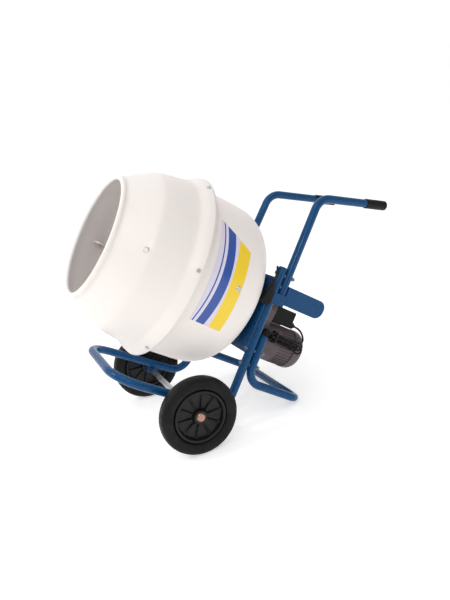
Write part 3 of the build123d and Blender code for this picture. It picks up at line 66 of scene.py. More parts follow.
# ------------------------------------------------------------------ places
@dataclass(frozen=True)
class Machine:
    """The leaning frame of the machine: origin at the frame corner, three unit axes."""

    origin: np.ndarray
    rear: np.ndarray
    up: np.ndarray
    shaft_height: float = 351 * MM

    @classmethod
    def from_shaft(cls, joint: dict) -> "Machine":
        """Read the leaning frame from the drum's joint.

        Args:
            joint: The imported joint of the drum, with its position and axis.

        Returns:
            The frame whose t axis is the drum shaft.
        """
        rear = np.array(joint["axis"], float)
        up = np.array([-rear[2], 0.0, rear[0]])
        return cls(np.array(joint["pos_m"], float) - up * cls.shaft_height, rear, up)

    def place(self, t: np.ndarray, s: np.ndarray, y: np.ndarray) -> np.ndarray:
        """Points of the row frame for t, s and y in metres, broadcast together."""
        t, s, y = np.broadcast_arrays(t, s, y)
        across = np.array([0.0, 1.0, 0.0])
        return (self.origin + t[..., None] * self.rear + s[..., None] * self.up
                + y[..., None] * across)

    def round_shaft(self, t: np.ndarray, radius: np.ndarray, angle: np.ndarray) -> np.ndarray:
        """Points round the drum shaft: angle 0 is the -Y side and grows upwards."""
        s = self.shaft_height + radius * np.sin(angle)
        return self.place(t, s, -radius * np.cos(angle))


MACHINE = Machine.from_shaft(next(j for j in frame["joints"] if j["name"] == "drum_spin"))


# ------------------------------------------------------------------ surfaces
def corner_cut(points: np.ndarray, passes: int, closed: bool = True) -> np.ndarray:
    """Round a polyline by corner cutting.

    Each pass replaces every side by the points a quarter and three quarters along it.

    Args:
        points: Corners, one row each.
        passes: How often the corners are cut.
        closed: Whether the last corner joins the first.

    Returns:
        The rounded line.
    """
    for _ in range(passes):
        ahead = np.roll(points, -1, axis=0)
        pair = np.stack([0.75 * points + 0.25 * ahead, 0.25 * points + 0.75 * ahead], axis=1)
        if closed:
            points = pair.reshape(-1, points.shape[1])
        else:
            inner = pair[:-1].reshape(-1, points.shape[1])
            points = np.vstack([points[:1], inner[1:-1], points[-1:]])
    return points


def arc(centre: tuple[float, float], radius: float, start: float, stop: float,
        count: int) -> np.ndarray:
    """Points on a circle: centre plus radius times cosine and sine of the angle in degrees."""
    turn = np.radians(np.linspace(start, stop, count))
    return np.stack([centre[0] + radius * np.cos(turn), centre[1] + radius * np.sin(turn)], axis=1)


def mesh_from_grid(name: str, points: np.ndarray, wrap: tuple[bool, bool],
                   caps: bool = False) -> bpy.types.Object:
    """Make a smooth mesh from a grid of points.

    Neighbouring grid points are joined by four-sided faces; a wrapped direction joins
    its last row to its first.  The mesh's signed volume, the sum over the faces of the
    corner's dot product with the face's vector area, tells whether to turn it outwards.

    Args:
        name: Name of the piece.
        points: Array of rows, columns and coordinates.
        wrap: Whether rows and columns close on themselves.
        caps: Whether the first and last rows are filled with one face each.

    Returns:
        The new object, linked to the scene, with a UV map of the grid's two parameters.
    """
    rows, columns = points.shape[:2]
    row_sides = rows if wrap[0] else rows - 1
    column_sides = columns if wrap[1] else columns - 1
    r, c = np.meshgrid(np.arange(row_sides), np.arange(column_sides), indexing="ij")
    next_r, next_c = (r + 1) % rows, (c + 1) % columns
    corners = [r * columns + c, next_r * columns + c, next_r * columns + next_c, r * columns + next_c]
    faces = np.stack(corners, axis=-1).reshape(-1, 4)
    flat = points.reshape(-1, 3)
    quad = flat[faces]
    area = np.cross(quad[:, 2] - quad[:, 0], quad[:, 3] - quad[:, 1])
    step = -1 if np.sum((quad[:, 0] - flat.mean(axis=0)) * area) < 0 else 1
    polygons = faces[:, ::step].tolist()
    if caps:
        polygons.append(list(range(columns))[::-step])
        polygons.append(list(range((rows - 1) * columns, rows * columns))[::step])
    mesh = bpy.data.meshes.new(name)
    mesh.from_pydata(flat.tolist(), [], polygons)
    u = np.repeat(np.linspace(0, 1, rows), columns)
    v = np.tile(np.linspace(0, 1, columns), rows)
    layer = mesh.uv_layers.new(name="UVMap")
    index = np.empty(len(mesh.loops), np.int32)
    mesh.loops.foreach_get("vertex_index", index)
    layer.data.foreach_set("uv", np.stack([u[index], v[index]], axis=1).ravel())
    mesh.polygons.foreach_set("use_smooth", np.ones(len(mesh.polygons), bool))
    mesh.update()
    made = bpy.data.objects.new(name, mesh)
    bpy.context.scene.collection.objects.link(made)
    return made


def turned(name: str, profile: np.ndarray, segments: int = 144) -> bpy.types.Object:
    """A closed profile of (t, radius) rows, turned a full circle round the drum shaft."""
    angle = np.linspace(0, TAU, segments, endpoint=False)[:, None]
    points = MACHINE.round_shaft(profile[None, :, 0], profile[None, :, 1], angle)
    return mesh_from_grid(name, points, (True, True))


# ------------------------------------------------------------------ finishes
class Shader:
    """A material under construction: a principled shader and helpers that feed it."""

    def __init__(self, name: str, colour: Colour, roughness: float, metallic: float = 0.0,
                 gleam: float = 0.5) -> None:
        """Start a material of one colour, roughness, metalness and strength of reflection."""
        self.material = bpy.data.materials.new(name)
        self.material.use_nodes = True
        self.material.diffuse_color = (*colour, 1.0)
        self.tree = self.material.node_tree
        self.surface = self.tree.nodes["Principled BSDF"]
        self.surface.inputs["Base Color"].default_value = (*colour, 1.0)
        self.surface.inputs["Roughness"].default_value = roughness
        self.surface.inputs["Metallic"].default_value = metallic
        self.surface.inputs["Specular IOR Level"].default_value = gleam
        self.coordinates = self.node("ShaderNodeTexCoord").outputs["Object"]

    def node(self, kind: str) -> bpy.types.Node:
        """A new node of that kind."""
        return self.tree.nodes.new(kind)

    def link(self, output: bpy.types.NodeSocket, target: bpy.types.NodeSocket) -> None:
        """Join an output to an input."""
        self.tree.links.new(output, target)

    def stretched(self, scale: Colour) -> bpy.types.NodeSocket:
        """Object coordinates scaled differently along each axis."""
        mapping = self.node("ShaderNodeMapping")
        mapping.inputs["Scale"].default_value = scale
        self.link(self.coordinates, mapping.inputs["Vector"])
        return mapping.outputs["Vector"]

    def noise(self, scale: float, detail: float = 3.0,
              vector: bpy.types.NodeSocket | None = None) -> bpy.types.NodeSocket:
        """Cloudy noise on the object's own coordinates, or on the vector given."""
        texture = self.node("ShaderNodeTexNoise")
        texture.inputs["Scale"].default_value = scale
        texture.inputs["Detail"].default_value = detail
        self.link(self.coordinates if vector is None else vector, texture.inputs["Vector"])
        return texture.outputs["Fac"]

    def spots(self, scale: float) -> bpy.types.NodeSocket:
        """Distance to scattered cell centres, for grain and pits."""
        texture = self.node("ShaderNodeTexVoronoi")
        texture.inputs["Scale"].default_value = scale
        self.link(self.coordinates, texture.inputs["Vector"])
        return texture.outputs["Distance"]

    def span(self, value: bpy.types.NodeSocket, low: float, high: float,
             to_low: float, to_high: float) -> bpy.types.NodeSocket:
        """The value stretched from one range onto another, and held at its ends."""
        ranged = self.node("ShaderNodeMapRange")
        limits = (("From Min", low), ("From Max", high), ("To Min", to_low), ("To Max", to_high))
        for key, number in limits:
            ranged.inputs[key].default_value = number
        self.link(value, ranged.inputs["Value"])
        return ranged.outputs["Result"]

    def colours(self, factor: bpy.types.NodeSocket, first: Colour, second: Colour) -> bpy.types.NodeSocket:
        """A mix of two colours."""
        mix = self.node("ShaderNodeMix")
        mix.data_type = "RGBA"
        mix.inputs["A"].default_value = (*first, 1.0)
        mix.inputs["B"].default_value = (*second, 1.0)
        self.link(factor, mix.inputs["Factor"])
        return mix.outputs["Result"]

    def layered(self, factor: bpy.types.NodeSocket, under: bpy.types.NodeSocket,
                over: Colour) -> bpy.types.NodeSocket:
        """A colour laid over another where the factor is high."""
        mix = self.node("ShaderNodeMix")
        mix.data_type = "RGBA"
        mix.inputs["B"].default_value = (*over, 1.0)
        self.link(under, mix.inputs["A"])
        self.link(factor, mix.inputs["Factor"])
        return mix.outputs["Result"]

    def paint(self, colour: bpy.types.NodeSocket) -> None:
        """Use a colour output as the base colour."""
        self.link(colour, self.surface.inputs["Base Color"])

    def rough(self, value: bpy.types.NodeSocket) -> None:
        """Use a value output as the roughness."""
        self.link(value, self.surface.inputs["Roughness"])

    def uneven(self, scale: float, detail: float, low: float, high: float) -> None:
        """Let the roughness wander between two values over cloudy noise."""
        self.rough(self.span(self.noise(scale, detail), 0.3, 0.7, low, high))

    def relief(self, height: bpy.types.NodeSocket, depth: float, strength: float) -> None:
        """Raise the surface by a height output times a depth in metres, over what is there."""
        bump = self.node("ShaderNodeBump")
        bump.inputs["Distance"].default_value = depth
        bump.inputs["Strength"].default_value = strength
        self.link(height, bump.inputs["Height"])
        normal = self.surface.inputs["Normal"]
        if normal.is_linked:
            self.link(normal.links[0].from_socket, bump.inputs["Normal"])
        self.link(bump.outputs["Normal"], normal)


def shade(colour: Colour, factor: float) -> Colour:
    """A colour made darker or lighter by a factor."""
    return tuple(min(1.0, channel * factor) for channel in colour)


@dataclass(frozen=True)
class Enamel:
    """Glossy paint on steel: soft orange peel, faint mottling and dull handling marks."""

    name: str
    colour: Colour
    roughness: float = 0.24
    dust: Colour = (0.02, 0.08, 0.15)

    def material(self) -> bpy.types.Material:
        """Build the material."""
        shader = Shader(self.name, self.colour, self.roughness, gleam=0.2)
        mottle = shader.colours(shader.noise(9.0), shade(self.colour, 0.84), shade(self.colour, 1.16))
        worn = shader.span(shader.noise(38.0, 6.0), 0.60, 0.80, 0.0, 0.35)
        shader.paint(shader.layered(worn, mottle, self.dust))
        wear = shader.noise(60.0, 5.0)
        shader.rough(shader.span(wear, 0.3, 0.75, self.roughness - 0.08, self.roughness + 0.14))
        shader.surface.inputs["Coat Weight"].default_value = 0.12
        shader.surface.inputs["Coat Roughness"].default_value = 0.10
        shader.relief(shader.noise(260.0, 1.0), 0.0001, 0.2)
        return shader.material


@dataclass(frozen=True)
class MouldedShell:
    """Pale moulded polyethylene: slight translucency, flow mottling and fine scuffs."""

    name: str
    colour: Colour
    roughness: float = 0.36

    def material(self) -> bpy.types.Material:
        """Build the material."""
        shader = Shader(self.name, self.colour, self.roughness)
        mottle = shader.colours(shader.noise(5.0), shade(self.colour, 0.975), shade(self.colour, 1.02))
        stain = shader.span(shader.noise(16.0, 7.0), 0.60, 0.82, 0.0, 0.10)
        shader.paint(shader.layered(stain, mottle, (0.63, 0.57, 0.52)))
        shader.uneven(45.0, 6.0, self.roughness - 0.08, self.roughness + 0.12)
        shader.surface.inputs["Subsurface Weight"].default_value = 0.35
        shader.surface.inputs["Subsurface Radius"].default_value = (0.030, 0.022, 0.018)
        shader.relief(shader.noise(24.0, 2.0), 0.0012, 0.25)
        shader.relief(shader.noise(900.0, 1.0), 0.0001, 0.25)
        return shader.material


@dataclass(frozen=True)
class Rubber:
    """Black rubber with a fine grain and a grey bloom."""

    name: str
    colour: Colour = (0.005, 0.005, 0.005)
    bloom: Colour = (0.016, 0.015, 0.014)
    roughness: float = 0.50

    def material(self) -> bpy.types.Material:
        """Build the material."""
        shader = Shader(self.name, self.colour, self.roughness, gleam=0.2)
        bloom = shader.span(shader.noise(28.0, 6.0), 0.45, 0.8, 0.0, 0.7)
        shader.paint(shader.colours(bloom, self.colour, self.bloom))
        shader.uneven(70.0, 4.0, self.roughness - 0.1, self.roughness + 0.15)
        shader.relief(shader.noise(1500.0, 2.0), 0.00015, 0.4)
        return shader.material


@dataclass(frozen=True)
class GrainedPlastic:
    """Moulded plastic with a spark-eroded grain."""

    name: str
    colour: Colour
    roughness: float = 0.42
    grain: float = 900.0
    gleam: float = 0.22

    def material(self) -> bpy.types.Material:
        """Build the material."""
        shader = Shader(self.name, self.colour, self.roughness, gleam=self.gleam)
        cloud = shader.noise(30.0, 4.0)
        shader.paint(shader.colours(cloud, shade(self.colour, 0.8), shade(self.colour, 1.25)))
        shader.uneven(110.0, 4.0, self.roughness - 0.08, self.roughness + 0.12)
        shader.relief(shader.spots(self.grain), 0.00012, 0.5)
        return shader.material


@dataclass(frozen=True)
class CastAlloy:
    """Die-cast aluminium, grey painted or bare, with a sandy skin and dirt in places."""

    name: str
    colour: Colour
    metallic: float = 0.55
    roughness: float = 0.45

    def material(self) -> bpy.types.Material:
        """Build the material."""
        shader = Shader(self.name, self.colour, self.roughness, self.metallic, 0.3)
        cloud = shader.colours(shader.noise(22.0, 5.0), shade(self.colour, 0.78), shade(self.colour, 1.18))
        dirt = shader.span(shader.noise(55.0, 7.0), 0.60, 0.78, 0.0, 0.5)
        shader.paint(shader.layered(dirt, cloud, shade(self.colour, 0.35)))
        shader.uneven(90.0, 5.0, self.roughness - 0.1, self.roughness + 0.2)
        shader.relief(shader.noise(1100.0, 3.0), 0.0002, 0.5)
        return shader.material


class Plate(Enum):
    """Platings and bare surfaces of the small steel parts: colour and roughness."""

    ZINC = ((0.66, 0.66, 0.64), 0.28)
    DULL_ZINC = ((0.25, 0.27, 0.30), 0.42)
    YELLOW_ZINC = ((0.50, 0.27, 0.21), 0.34)
    BRIGHT_STEEL = ((0.56, 0.56, 0.57), 0.25)
    LAMINATION = ((0.20, 0.20, 0.22), 0.45)


@dataclass(frozen=True)
class PlatedSteel:
    """Plated or bright steel with cloudy plating and fine turning marks."""

    name: str
    plate: Plate

    def material(self) -> bpy.types.Material:
        """Build the material."""
        colour, roughness = self.plate.value
        shader = Shader(self.name, colour, roughness, 1.0)
        shader.paint(shader.colours(shader.noise(180.0, 4.0), shade(colour, 0.72), shade(colour, 1.12)))
        shader.uneven(260.0, 5.0, roughness - 0.08, roughness + 0.18)
        shader.relief(shader.noise(1400.0, 2.0, shader.stretched((1.0, 1.0, 6.0))), 0.00006, 0.4)
        return shader.material


@dataclass(frozen=True)
class PrintedFilm:
    """A glossy sticker: a pale ground with a blue sweep and a yellow foot, no words.

    The film's own UV map carries the design: U runs across the film, V along it.
    """

    name: str
    ground: Colour = (0.74, 0.70, 0.84)
    sweep: Colour = (0.012, 0.07, 0.36)
    foot: Colour = (0.95, 0.66, 0.01)

    def material(self) -> bpy.types.Material:
        """Build the material."""
        shader = Shader(self.name, self.ground, 0.22)
        split = shader.node("ShaderNodeSeparateXYZ")
        uv = shader.node("ShaderNodeUVMap")
        uv.uv_map = "UVMap"
        shader.link(uv.outputs["UV"], split.inputs["Vector"])
        across, along = split.outputs["X"], split.outputs["Y"]
        bent = self.add(shader, across, self.curve(shader, along, 0.10, 1.0), -1.0)
        broad = self.band(shader, bent, 0.20, 0.46)
        thin = self.band(shader, bent, 0.07, 0.11)
        foot = self.band(shader, across, 0.62, 1.1)
        swept = shader.layered(broad, shader.colours(thin, self.ground, self.sweep), self.sweep)
        shader.paint(shader.layered(foot, swept, self.foot))
        shader.surface.inputs["Coat Weight"].default_value = 0.6
        shader.surface.inputs["Coat Roughness"].default_value = 0.08
        shader.relief(shader.noise(30.0, 2.0), 0.0004, 0.2)
        return shader.material

    @staticmethod
    def curve(shader: Shader, along: bpy.types.NodeSocket, height: float,
              turns: float) -> bpy.types.NodeSocket:
        """Height times the sine of the place along the film."""
        wave = shader.node("ShaderNodeMath")
        wave.operation = "SINE"
        shader.link(shader.span(along, 0.0, 1.0, 0.0, turns * math.pi), wave.inputs[0])
        return shader.span(wave.outputs["Value"], -1.0, 1.0, -height, height)

    @staticmethod
    def add(shader: Shader, first: bpy.types.NodeSocket, second: bpy.types.NodeSocket,
            factor: float) -> bpy.types.NodeSocket:
        """First plus factor times second."""
        total = shader.node("ShaderNodeMath")
        total.operation = "MULTIPLY_ADD"
        total.inputs[1].default_value = factor
        shader.link(second, total.inputs[0])
        shader.link(first, total.inputs[2])
        return total.outputs["Value"]

    @staticmethod
    def band(shader: Shader, value: bpy.types.NodeSocket, low: float,
             high: float) -> bpy.types.NodeSocket:
        """One between the two limits and nought outside them."""
        inside = shader.node("ShaderNodeMath")
        inside.operation = "COMPARE"
        inside.inputs[1].default_value = (low + high) / 2
        inside.inputs[2].default_value = (high - low) / 2
        shader.link(value, inside.inputs[0])
        return inside.outputs["Value"]


BLUE = Enamel("blue_enamel", (0.003, 0.064, 0.185)).material()
SHELL = MouldedShell("drum_shell", (0.92, 0.855, 0.815)).material()
# Lighter copy of the drum plastic for the inner faces: painted light that brightens the inside, where
# little light reaches.
PAINTED_LIGHT_INSIDE = MouldedShell("drum_inside_painted_light", (0.97, 0.925, 0.905), 0.45).material()
TYRE = Rubber("tyre_rubber").material()
GRIP = Rubber("grip_rubber", roughness=0.45).material()
SEAL = Rubber("seal_rubber", colour=(0.01, 0.01, 0.01)).material()
SHEATH = Rubber("cord_sheath", roughness=0.36).material()
RIM = GrainedPlastic("rim_plastic", (0.006, 0.006, 0.006), 0.36, gleam=0.3).material()
BOX = GrainedPlastic("box_plastic", (0.005, 0.005, 0.005), 0.42).material()
CAP_BLUE = GrainedPlastic("cap_plastic", (0.007, 0.045, 0.13), 0.40).material()
GREEN = GrainedPlastic("green_plastic", (0.02, 0.30, 0.07), 0.30, 400.0).material()
RED = GrainedPlastic("red_plastic", (0.50, 0.02, 0.02), 0.30, 400.0).material()
PALE = GrainedPlastic("pale_plastic", (0.68, 0.68, 0.65), 0.45).material()
MOTOR = CastAlloy("motor_alloy", (0.15, 0.118, 0.125), 0.25).material()
ZINC = PlatedSteel("zinc_plate", Plate.ZINC).material()
DULL = PlatedSteel("dull_zinc", Plate.DULL_ZINC).material()
BRONZE = PlatedSteel("yellow_zinc", Plate.YELLOW_ZINC).material()
STEEL = PlatedSteel("bright_steel", Plate.BRIGHT_STEEL).material()
LAMINATION = PlatedSteel("laminations", Plate.LAMINATION).material()
FILM = PrintedFilm("printed_film").material()


def dress(material: bpy.types.Material, *nodes: str) -> None:
    """Give CAD nodes a material."""
    for name in nodes:
        mesh = frame["nodes"][name].data
        mesh.materials.clear()
        mesh.materials.append(material)
        LOG.info("dressed %s with %s", name, material.name)


def finish_piece(piece: bpy.types.Object, material: bpy.types.Material, body: str) -> bpy.types.Object:
    """Give a new piece its material and its body.

    Args:
        piece: The new object.
        material: Its finish.
        body: The CAD body that it rides on.

    Returns:
        The same object.
    """
    piece.data.materials.append(material)
    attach(piece, body)
    LOG.info("made %s on %s", piece.name, body)
    return piece


# ------------------------------------------------------------------ sub-assemblies
@dataclass
class Drum:
    """The two drum halves, their seam, the paddles and the sticker."""

    mouth_t: float = -567 * MM
    wall: float = 6 * MM
    lip_radius: float = 8 * MM
    lip_ring: float = 196 * MM
    cone: tuple[tuple[float, float], ...] = (
        (10, 203.8), (60, 235.6), (94, 257.2), (106, 262.6), (150, 272.0), (190, 279.6),
        (207, 283.5), (216, 289.4), (228, 298.4), (240, 304.6), (250, 308.4))
    bowl: tuple[tuple[float, float], ...] = (
        (232, 290.0), (250, 296.0), (256, 279.5), (300, 279.0), (410, 278.6), (440, 271.5),
        (466, 260.0), (490, 241.0), (510, 213.0), (526, 184.0), (536, 158.0), (538, 140.0))
    film_depth: tuple[float, float] = (290, 402)
    film_start: tuple[float, float] = (-24, -25)
    film_end: tuple[float, float] = (45, 30)

    def build(self) -> None:
        """Make and dress every piece of the drum."""
        self.make_cone()
        self.make_bowl()
        self.make_film()
        dress(SHELL, "mixing_paddle_1", "mixing_paddle_2")
        dress(SEAL, "drum_seal")
        dress(ZINC, "band_bolts", "paddle_bolts", "hub_bolts")
        dress(STEEL, "hub_disc", "drum_shaft", "drum_gear")

    def make_cone(self) -> None:
        """Front half: a rolled lip, a straight cone, a waist and a flared skirt."""
        outer = np.array(self.cone) * MM
        inner = outer - np.array([0.0, self.wall])
        lip = arc((0.0, self.lip_ring), self.lip_radius, 40, 318, 22)
        walls = [corner_cut(line, 2, closed=False) for line in (inner, outer)]
        profile = np.vstack([lip, walls[0], walls[1][::-1]])
        profile[:, 0] += self.mouth_t
        piece = finish_piece(turned("drum_front_half", profile, 192), SHELL, "drum")
        self.paint_light_inside(piece)
        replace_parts(piece, "drum_cone")

    def make_bowl(self) -> None:
        """Rear half: a rim under the skirt, a straight wall and a rounded bottom."""
        outer = corner_cut(np.array(self.bowl) * MM, 3, closed=False)
        slope = np.gradient(outer, axis=0)
        normal = np.stack([-slope[:, 1], slope[:, 0]], axis=1)
        normal /= np.linalg.norm(normal, axis=1, keepdims=True)
        inner = outer - normal * self.wall
        bore = np.array([[outer[-1, 0], 14 * MM], [outer[-1, 0] - self.wall, 14 * MM]])
        profile = np.vstack([outer, bore, inner[::-1]])
        profile[:, 0] += self.mouth_t
        piece = finish_piece(turned("drum_rear_half", profile, 192), SHELL, "drum")
        self.paint_light_inside(piece)
        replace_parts(piece, "drum_bowl")

    def paint_light_inside(self, piece: bpy.types.Object) -> None:
        """Give the inner faces a lighter copy of the shell as painted light, brightening them where little
        light reaches: those whose normal points at the shaft.
        """
        # The second material is the lighter inside copy of the shell: painted light on the inner faces.
        piece.data.materials.append(PAINTED_LIGHT_INSIDE)
        count = len(piece.data.polygons)
        normal, centre = np.empty(count * 3), np.empty(count * 3)
        piece.data.polygons.foreach_get("normal", normal)
        piece.data.polygons.foreach_get("center", centre)
        middle = MACHINE.place(np.array(0.0), np.array(MACHINE.shaft_height), np.array(0.0))
        outwards = centre.reshape(-1, 3) - middle
        outwards -= (outwards @ MACHINE.rear)[:, None] * MACHINE.rear
        inner = np.sum(outwards * normal.reshape(-1, 3), axis=1) < 0
        piece.data.polygons.foreach_set("material_index", inner.astype(np.int32))

    def make_film(self) -> None:
        """Sticker on the rear half: a thin sheet that stands a hair off the wall.

        The grid runs over depth and angle, and its radius is the wall's at that depth
        plus the film's own thickness.  Both ends of the film are cut on a slant.
        """
        outline = corner_cut(np.array(self.bowl) * MM, 3, closed=False)
        depth = np.linspace(*self.film_depth, 40)[:, None] * MM
        start, end = (np.linspace(*ends, 40)[:, None] for ends in (self.film_start, self.film_end))
        angle = np.radians(start + (end - start) * np.linspace(0, 1, 60))
        radius = np.interp(depth, outline[:, 0], outline[:, 1]) + 0.4 * MM
        points = MACHINE.round_shaft(self.mouth_t + depth, radius, angle)
        film = mesh_from_grid("drum_film", points, (False, False))
        if film.data.polygons[0].normal.y > 0:
            film.data.flip_normals()
        finish_piece(film, FILM, "drum")


@dataclass
class Frame:
    """Bent tubes, welded plates and their fasteners."""

    def build(self) -> None:
        """Dress every piece of the frame."""
        dress(BLUE, "main_frame", "rear_stand", "axle_brackets", "handle_tube_left", "handle_tube_right",
              "handle_sockets", "drive_plate", "motor_guard")
        dress(CAP_BLUE, "tube_caps")
        dress(GRIP, "handle_grip_left", "handle_grip_right")
        dress(DULL, "frame_bolts", "frame_nuts", "tube_spacers", "axle_washers")
        dress(STEEL, "axle")
        dress(BRONZE, "axle_caps")


@dataclass
class Wheels:
    """Two wheels: a ringed rubber tyre on a moulded rim with a closed, ribbed web."""

    radius: float = 125 * MM
    half_width: float = 25 * MM
    seat: float = 84 * MM
    rings: int = 6
    ribs: int = 10
    rib_height: float = 9 * MM
    hub_radius: float = 22 * MM
    bore_radius: float = 10.2 * MM
    web: tuple[tuple[float, float], ...] = (
        (10.2, 21.5), (19.5, 21.5), (22.0, 19.0), (23.5, 8.0), (28.0, 4.0), (66.0, 4.0), (72.0, 7.0),
        (74.5, 19.0), (77.0, 21.0), (82.0, 21.0), (84.0, 19.0))

    def build(self) -> None:
        """Make both tyres and both rims."""
        for word in ("left", "right"):
            self.make_tyre(word)
            self.make_rim(word)

    def make_rim(self, word: str) -> None:
        """One rim: hub, web and flange turned in one, with ribs raised from the web.

        The outline is the half section and its mirror.  Between the hub and the flange
        each rib adds its height times a steep bell of the angle to the nearest rib.
        """
        low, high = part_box(f"wheel_rim_{word}")
        centre = (low + high) / 2
        half = corner_cut(np.array(self.web) * MM, 2, closed=False)
        section = np.vstack([half, half[::-1] * np.array([1.0, -1.0])])
        angle = np.linspace(0, TAU, 360, endpoint=False)[:, None]
        to_rib = (angle * self.ribs / TAU + 0.5) % 1.0 - 0.5
        bell = np.exp(-((to_rib / 0.085) ** 4))
        inner, outer = self.hub_radius + 1 * MM, 74 * MM
        share = np.clip((section[:, 0] - inner) / (outer - inner), 0, 1)
        room = np.clip(np.minimum(share, 1 - share) * 14, 0, 1)
        lift = self.rib_height * bell * room[None, :] * (1 - 0.45 * share[None, :])
        across = section[None, :, 1] + np.sign(section[None, :, 1]) * lift
        x = centre.x + section[None, :, 0] * np.cos(angle)
        z = centre.z + section[None, :, 0] * np.sin(angle)
        points = np.stack([x, centre.y + across, z], axis=-1)
        piece = mesh_from_grid(f"ribbed_rim_{word}", points, (True, True))
        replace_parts(finish_piece(piece, RIM, f"wheel_{word}"), f"wheel_rim_{word}")

    def make_tyre(self, word: str) -> None:
        """One tyre: a rounded outline with moulded rings on its sides.

        The outline is a superellipse between the rim seat and the tread; on the sides a
        sine of the radius raises the rings by a fraction of a millimetre.
        """
        low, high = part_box(f"tyre_{word}")
        centre = (low + high) / 2
        turn = np.linspace(0, TAU, 220, endpoint=False)
        middle = (self.radius + self.seat) / 2
        reach = (self.radius - self.seat) / 2
        power = 2.0 / 2.9
        across = self.half_width * np.sign(np.cos(turn)) * np.abs(np.cos(turn)) ** power
        radius = middle + reach * np.sign(np.sin(turn)) * np.abs(np.sin(turn)) ** power
        share = (radius - self.seat) / (self.radius - self.seat)
        side = np.clip(np.minimum(share - 0.12, 0.86 - share) * 12, 0, 1)
        ripple = 0.35 * MM * side * np.sin(share * TAU * self.rings)
        across = across - np.sign(across) * (0.4 * MM * side - ripple)
        angle = np.linspace(0, TAU, 160, endpoint=False)[:, None]
        x = centre.x + radius[None, :] * np.cos(angle)
        z = centre.z + radius[None, :] * np.sin(angle)
        points = np.stack([x, np.broadcast_to(centre.y + across, x.shape), z], axis=-1)
        piece = mesh_from_grid(f"ringed_tyre_{word}", points, (True, True))
        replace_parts(finish_piece(piece, TYRE, f"wheel_{word}"), f"tyre_{word}")


@dataclass
class Drive:
    """Gear case, motor and the parts inside them."""

    def build(self) -> None:
        """Dress every piece of the drive."""
        dress(MOTOR, "gearbox_case", "gearbox_cover", "motor_bell", "motor_housing")
        dress(MOTOR, "motor_fan_cover", "motor_tail_shield")
        dress(ZINC, "gearbox_bolts", "motor_bolts")
        dress(STEEL, "ball_bearings", "layshaft", "layshaft_gear", "rotor_shaft")
        dress(LAMINATION, "stator", "rotor_core")
        dress(SEAL, "shaft_seal")
        dress(BOX, "motor_fan")


@dataclass
class Switch:
    """Switch box on the motor, with its buttons and what is inside."""

    gland_s: float = 329 * MM
    nut_ribs: int = 12
    nut_span: tuple[float, float] = (223, 237)
    rib_height: float = 0.6 * MM
    gland: tuple[tuple[float, float], ...] = (
        (218, 10.5), (222, 10.8), (224, 11.5), (236, 11.5), (238, 10.0), (239, 7.2),
        (246, 5.4), (248, 4.6), (248, 3.7))

    def build(self) -> None:
        """Dress every piece of the switch."""
        dress(BOX, "switch_box", "switch_cover")
        dress(ZINC, "switch_screws")
        dress(GREEN, "start_button")
        dress(RED, "stop_button")
        dress(PALE, "contact_block", "run_capacitor")
        dress(SHEATH, "mains_plug")
        self.make_gland()

    def make_gland(self) -> None:
        """Cable gland: a ribbed nut and a rubber nose, turned about the lead.

        The outline is the radius along the lead; the ribs add a cosine of the angle to
        it over the length of the nut.
        """
        low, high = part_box("cable_gland")
        outline = np.array(self.gland)
        angle = np.linspace(0, TAU, 96, endpoint=False)
        nut = (outline[:, :1] > self.nut_span[0]) & (outline[:, :1] < self.nut_span[1])
        radius = outline[:, 1:] * MM + nut * self.rib_height * np.cos(self.nut_ribs * angle)
        s = self.gland_s + radius * np.sin(angle)
        y = (low.y + high.y) / 2 + radius * np.cos(angle)
        points = MACHINE.place(outline[:, :1] * MM, s, y)
        piece = mesh_from_grid("ribbed_gland", points, (False, True), caps=True)
        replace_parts(finish_piece(piece, SHEATH, "frame"), "cable_gland")


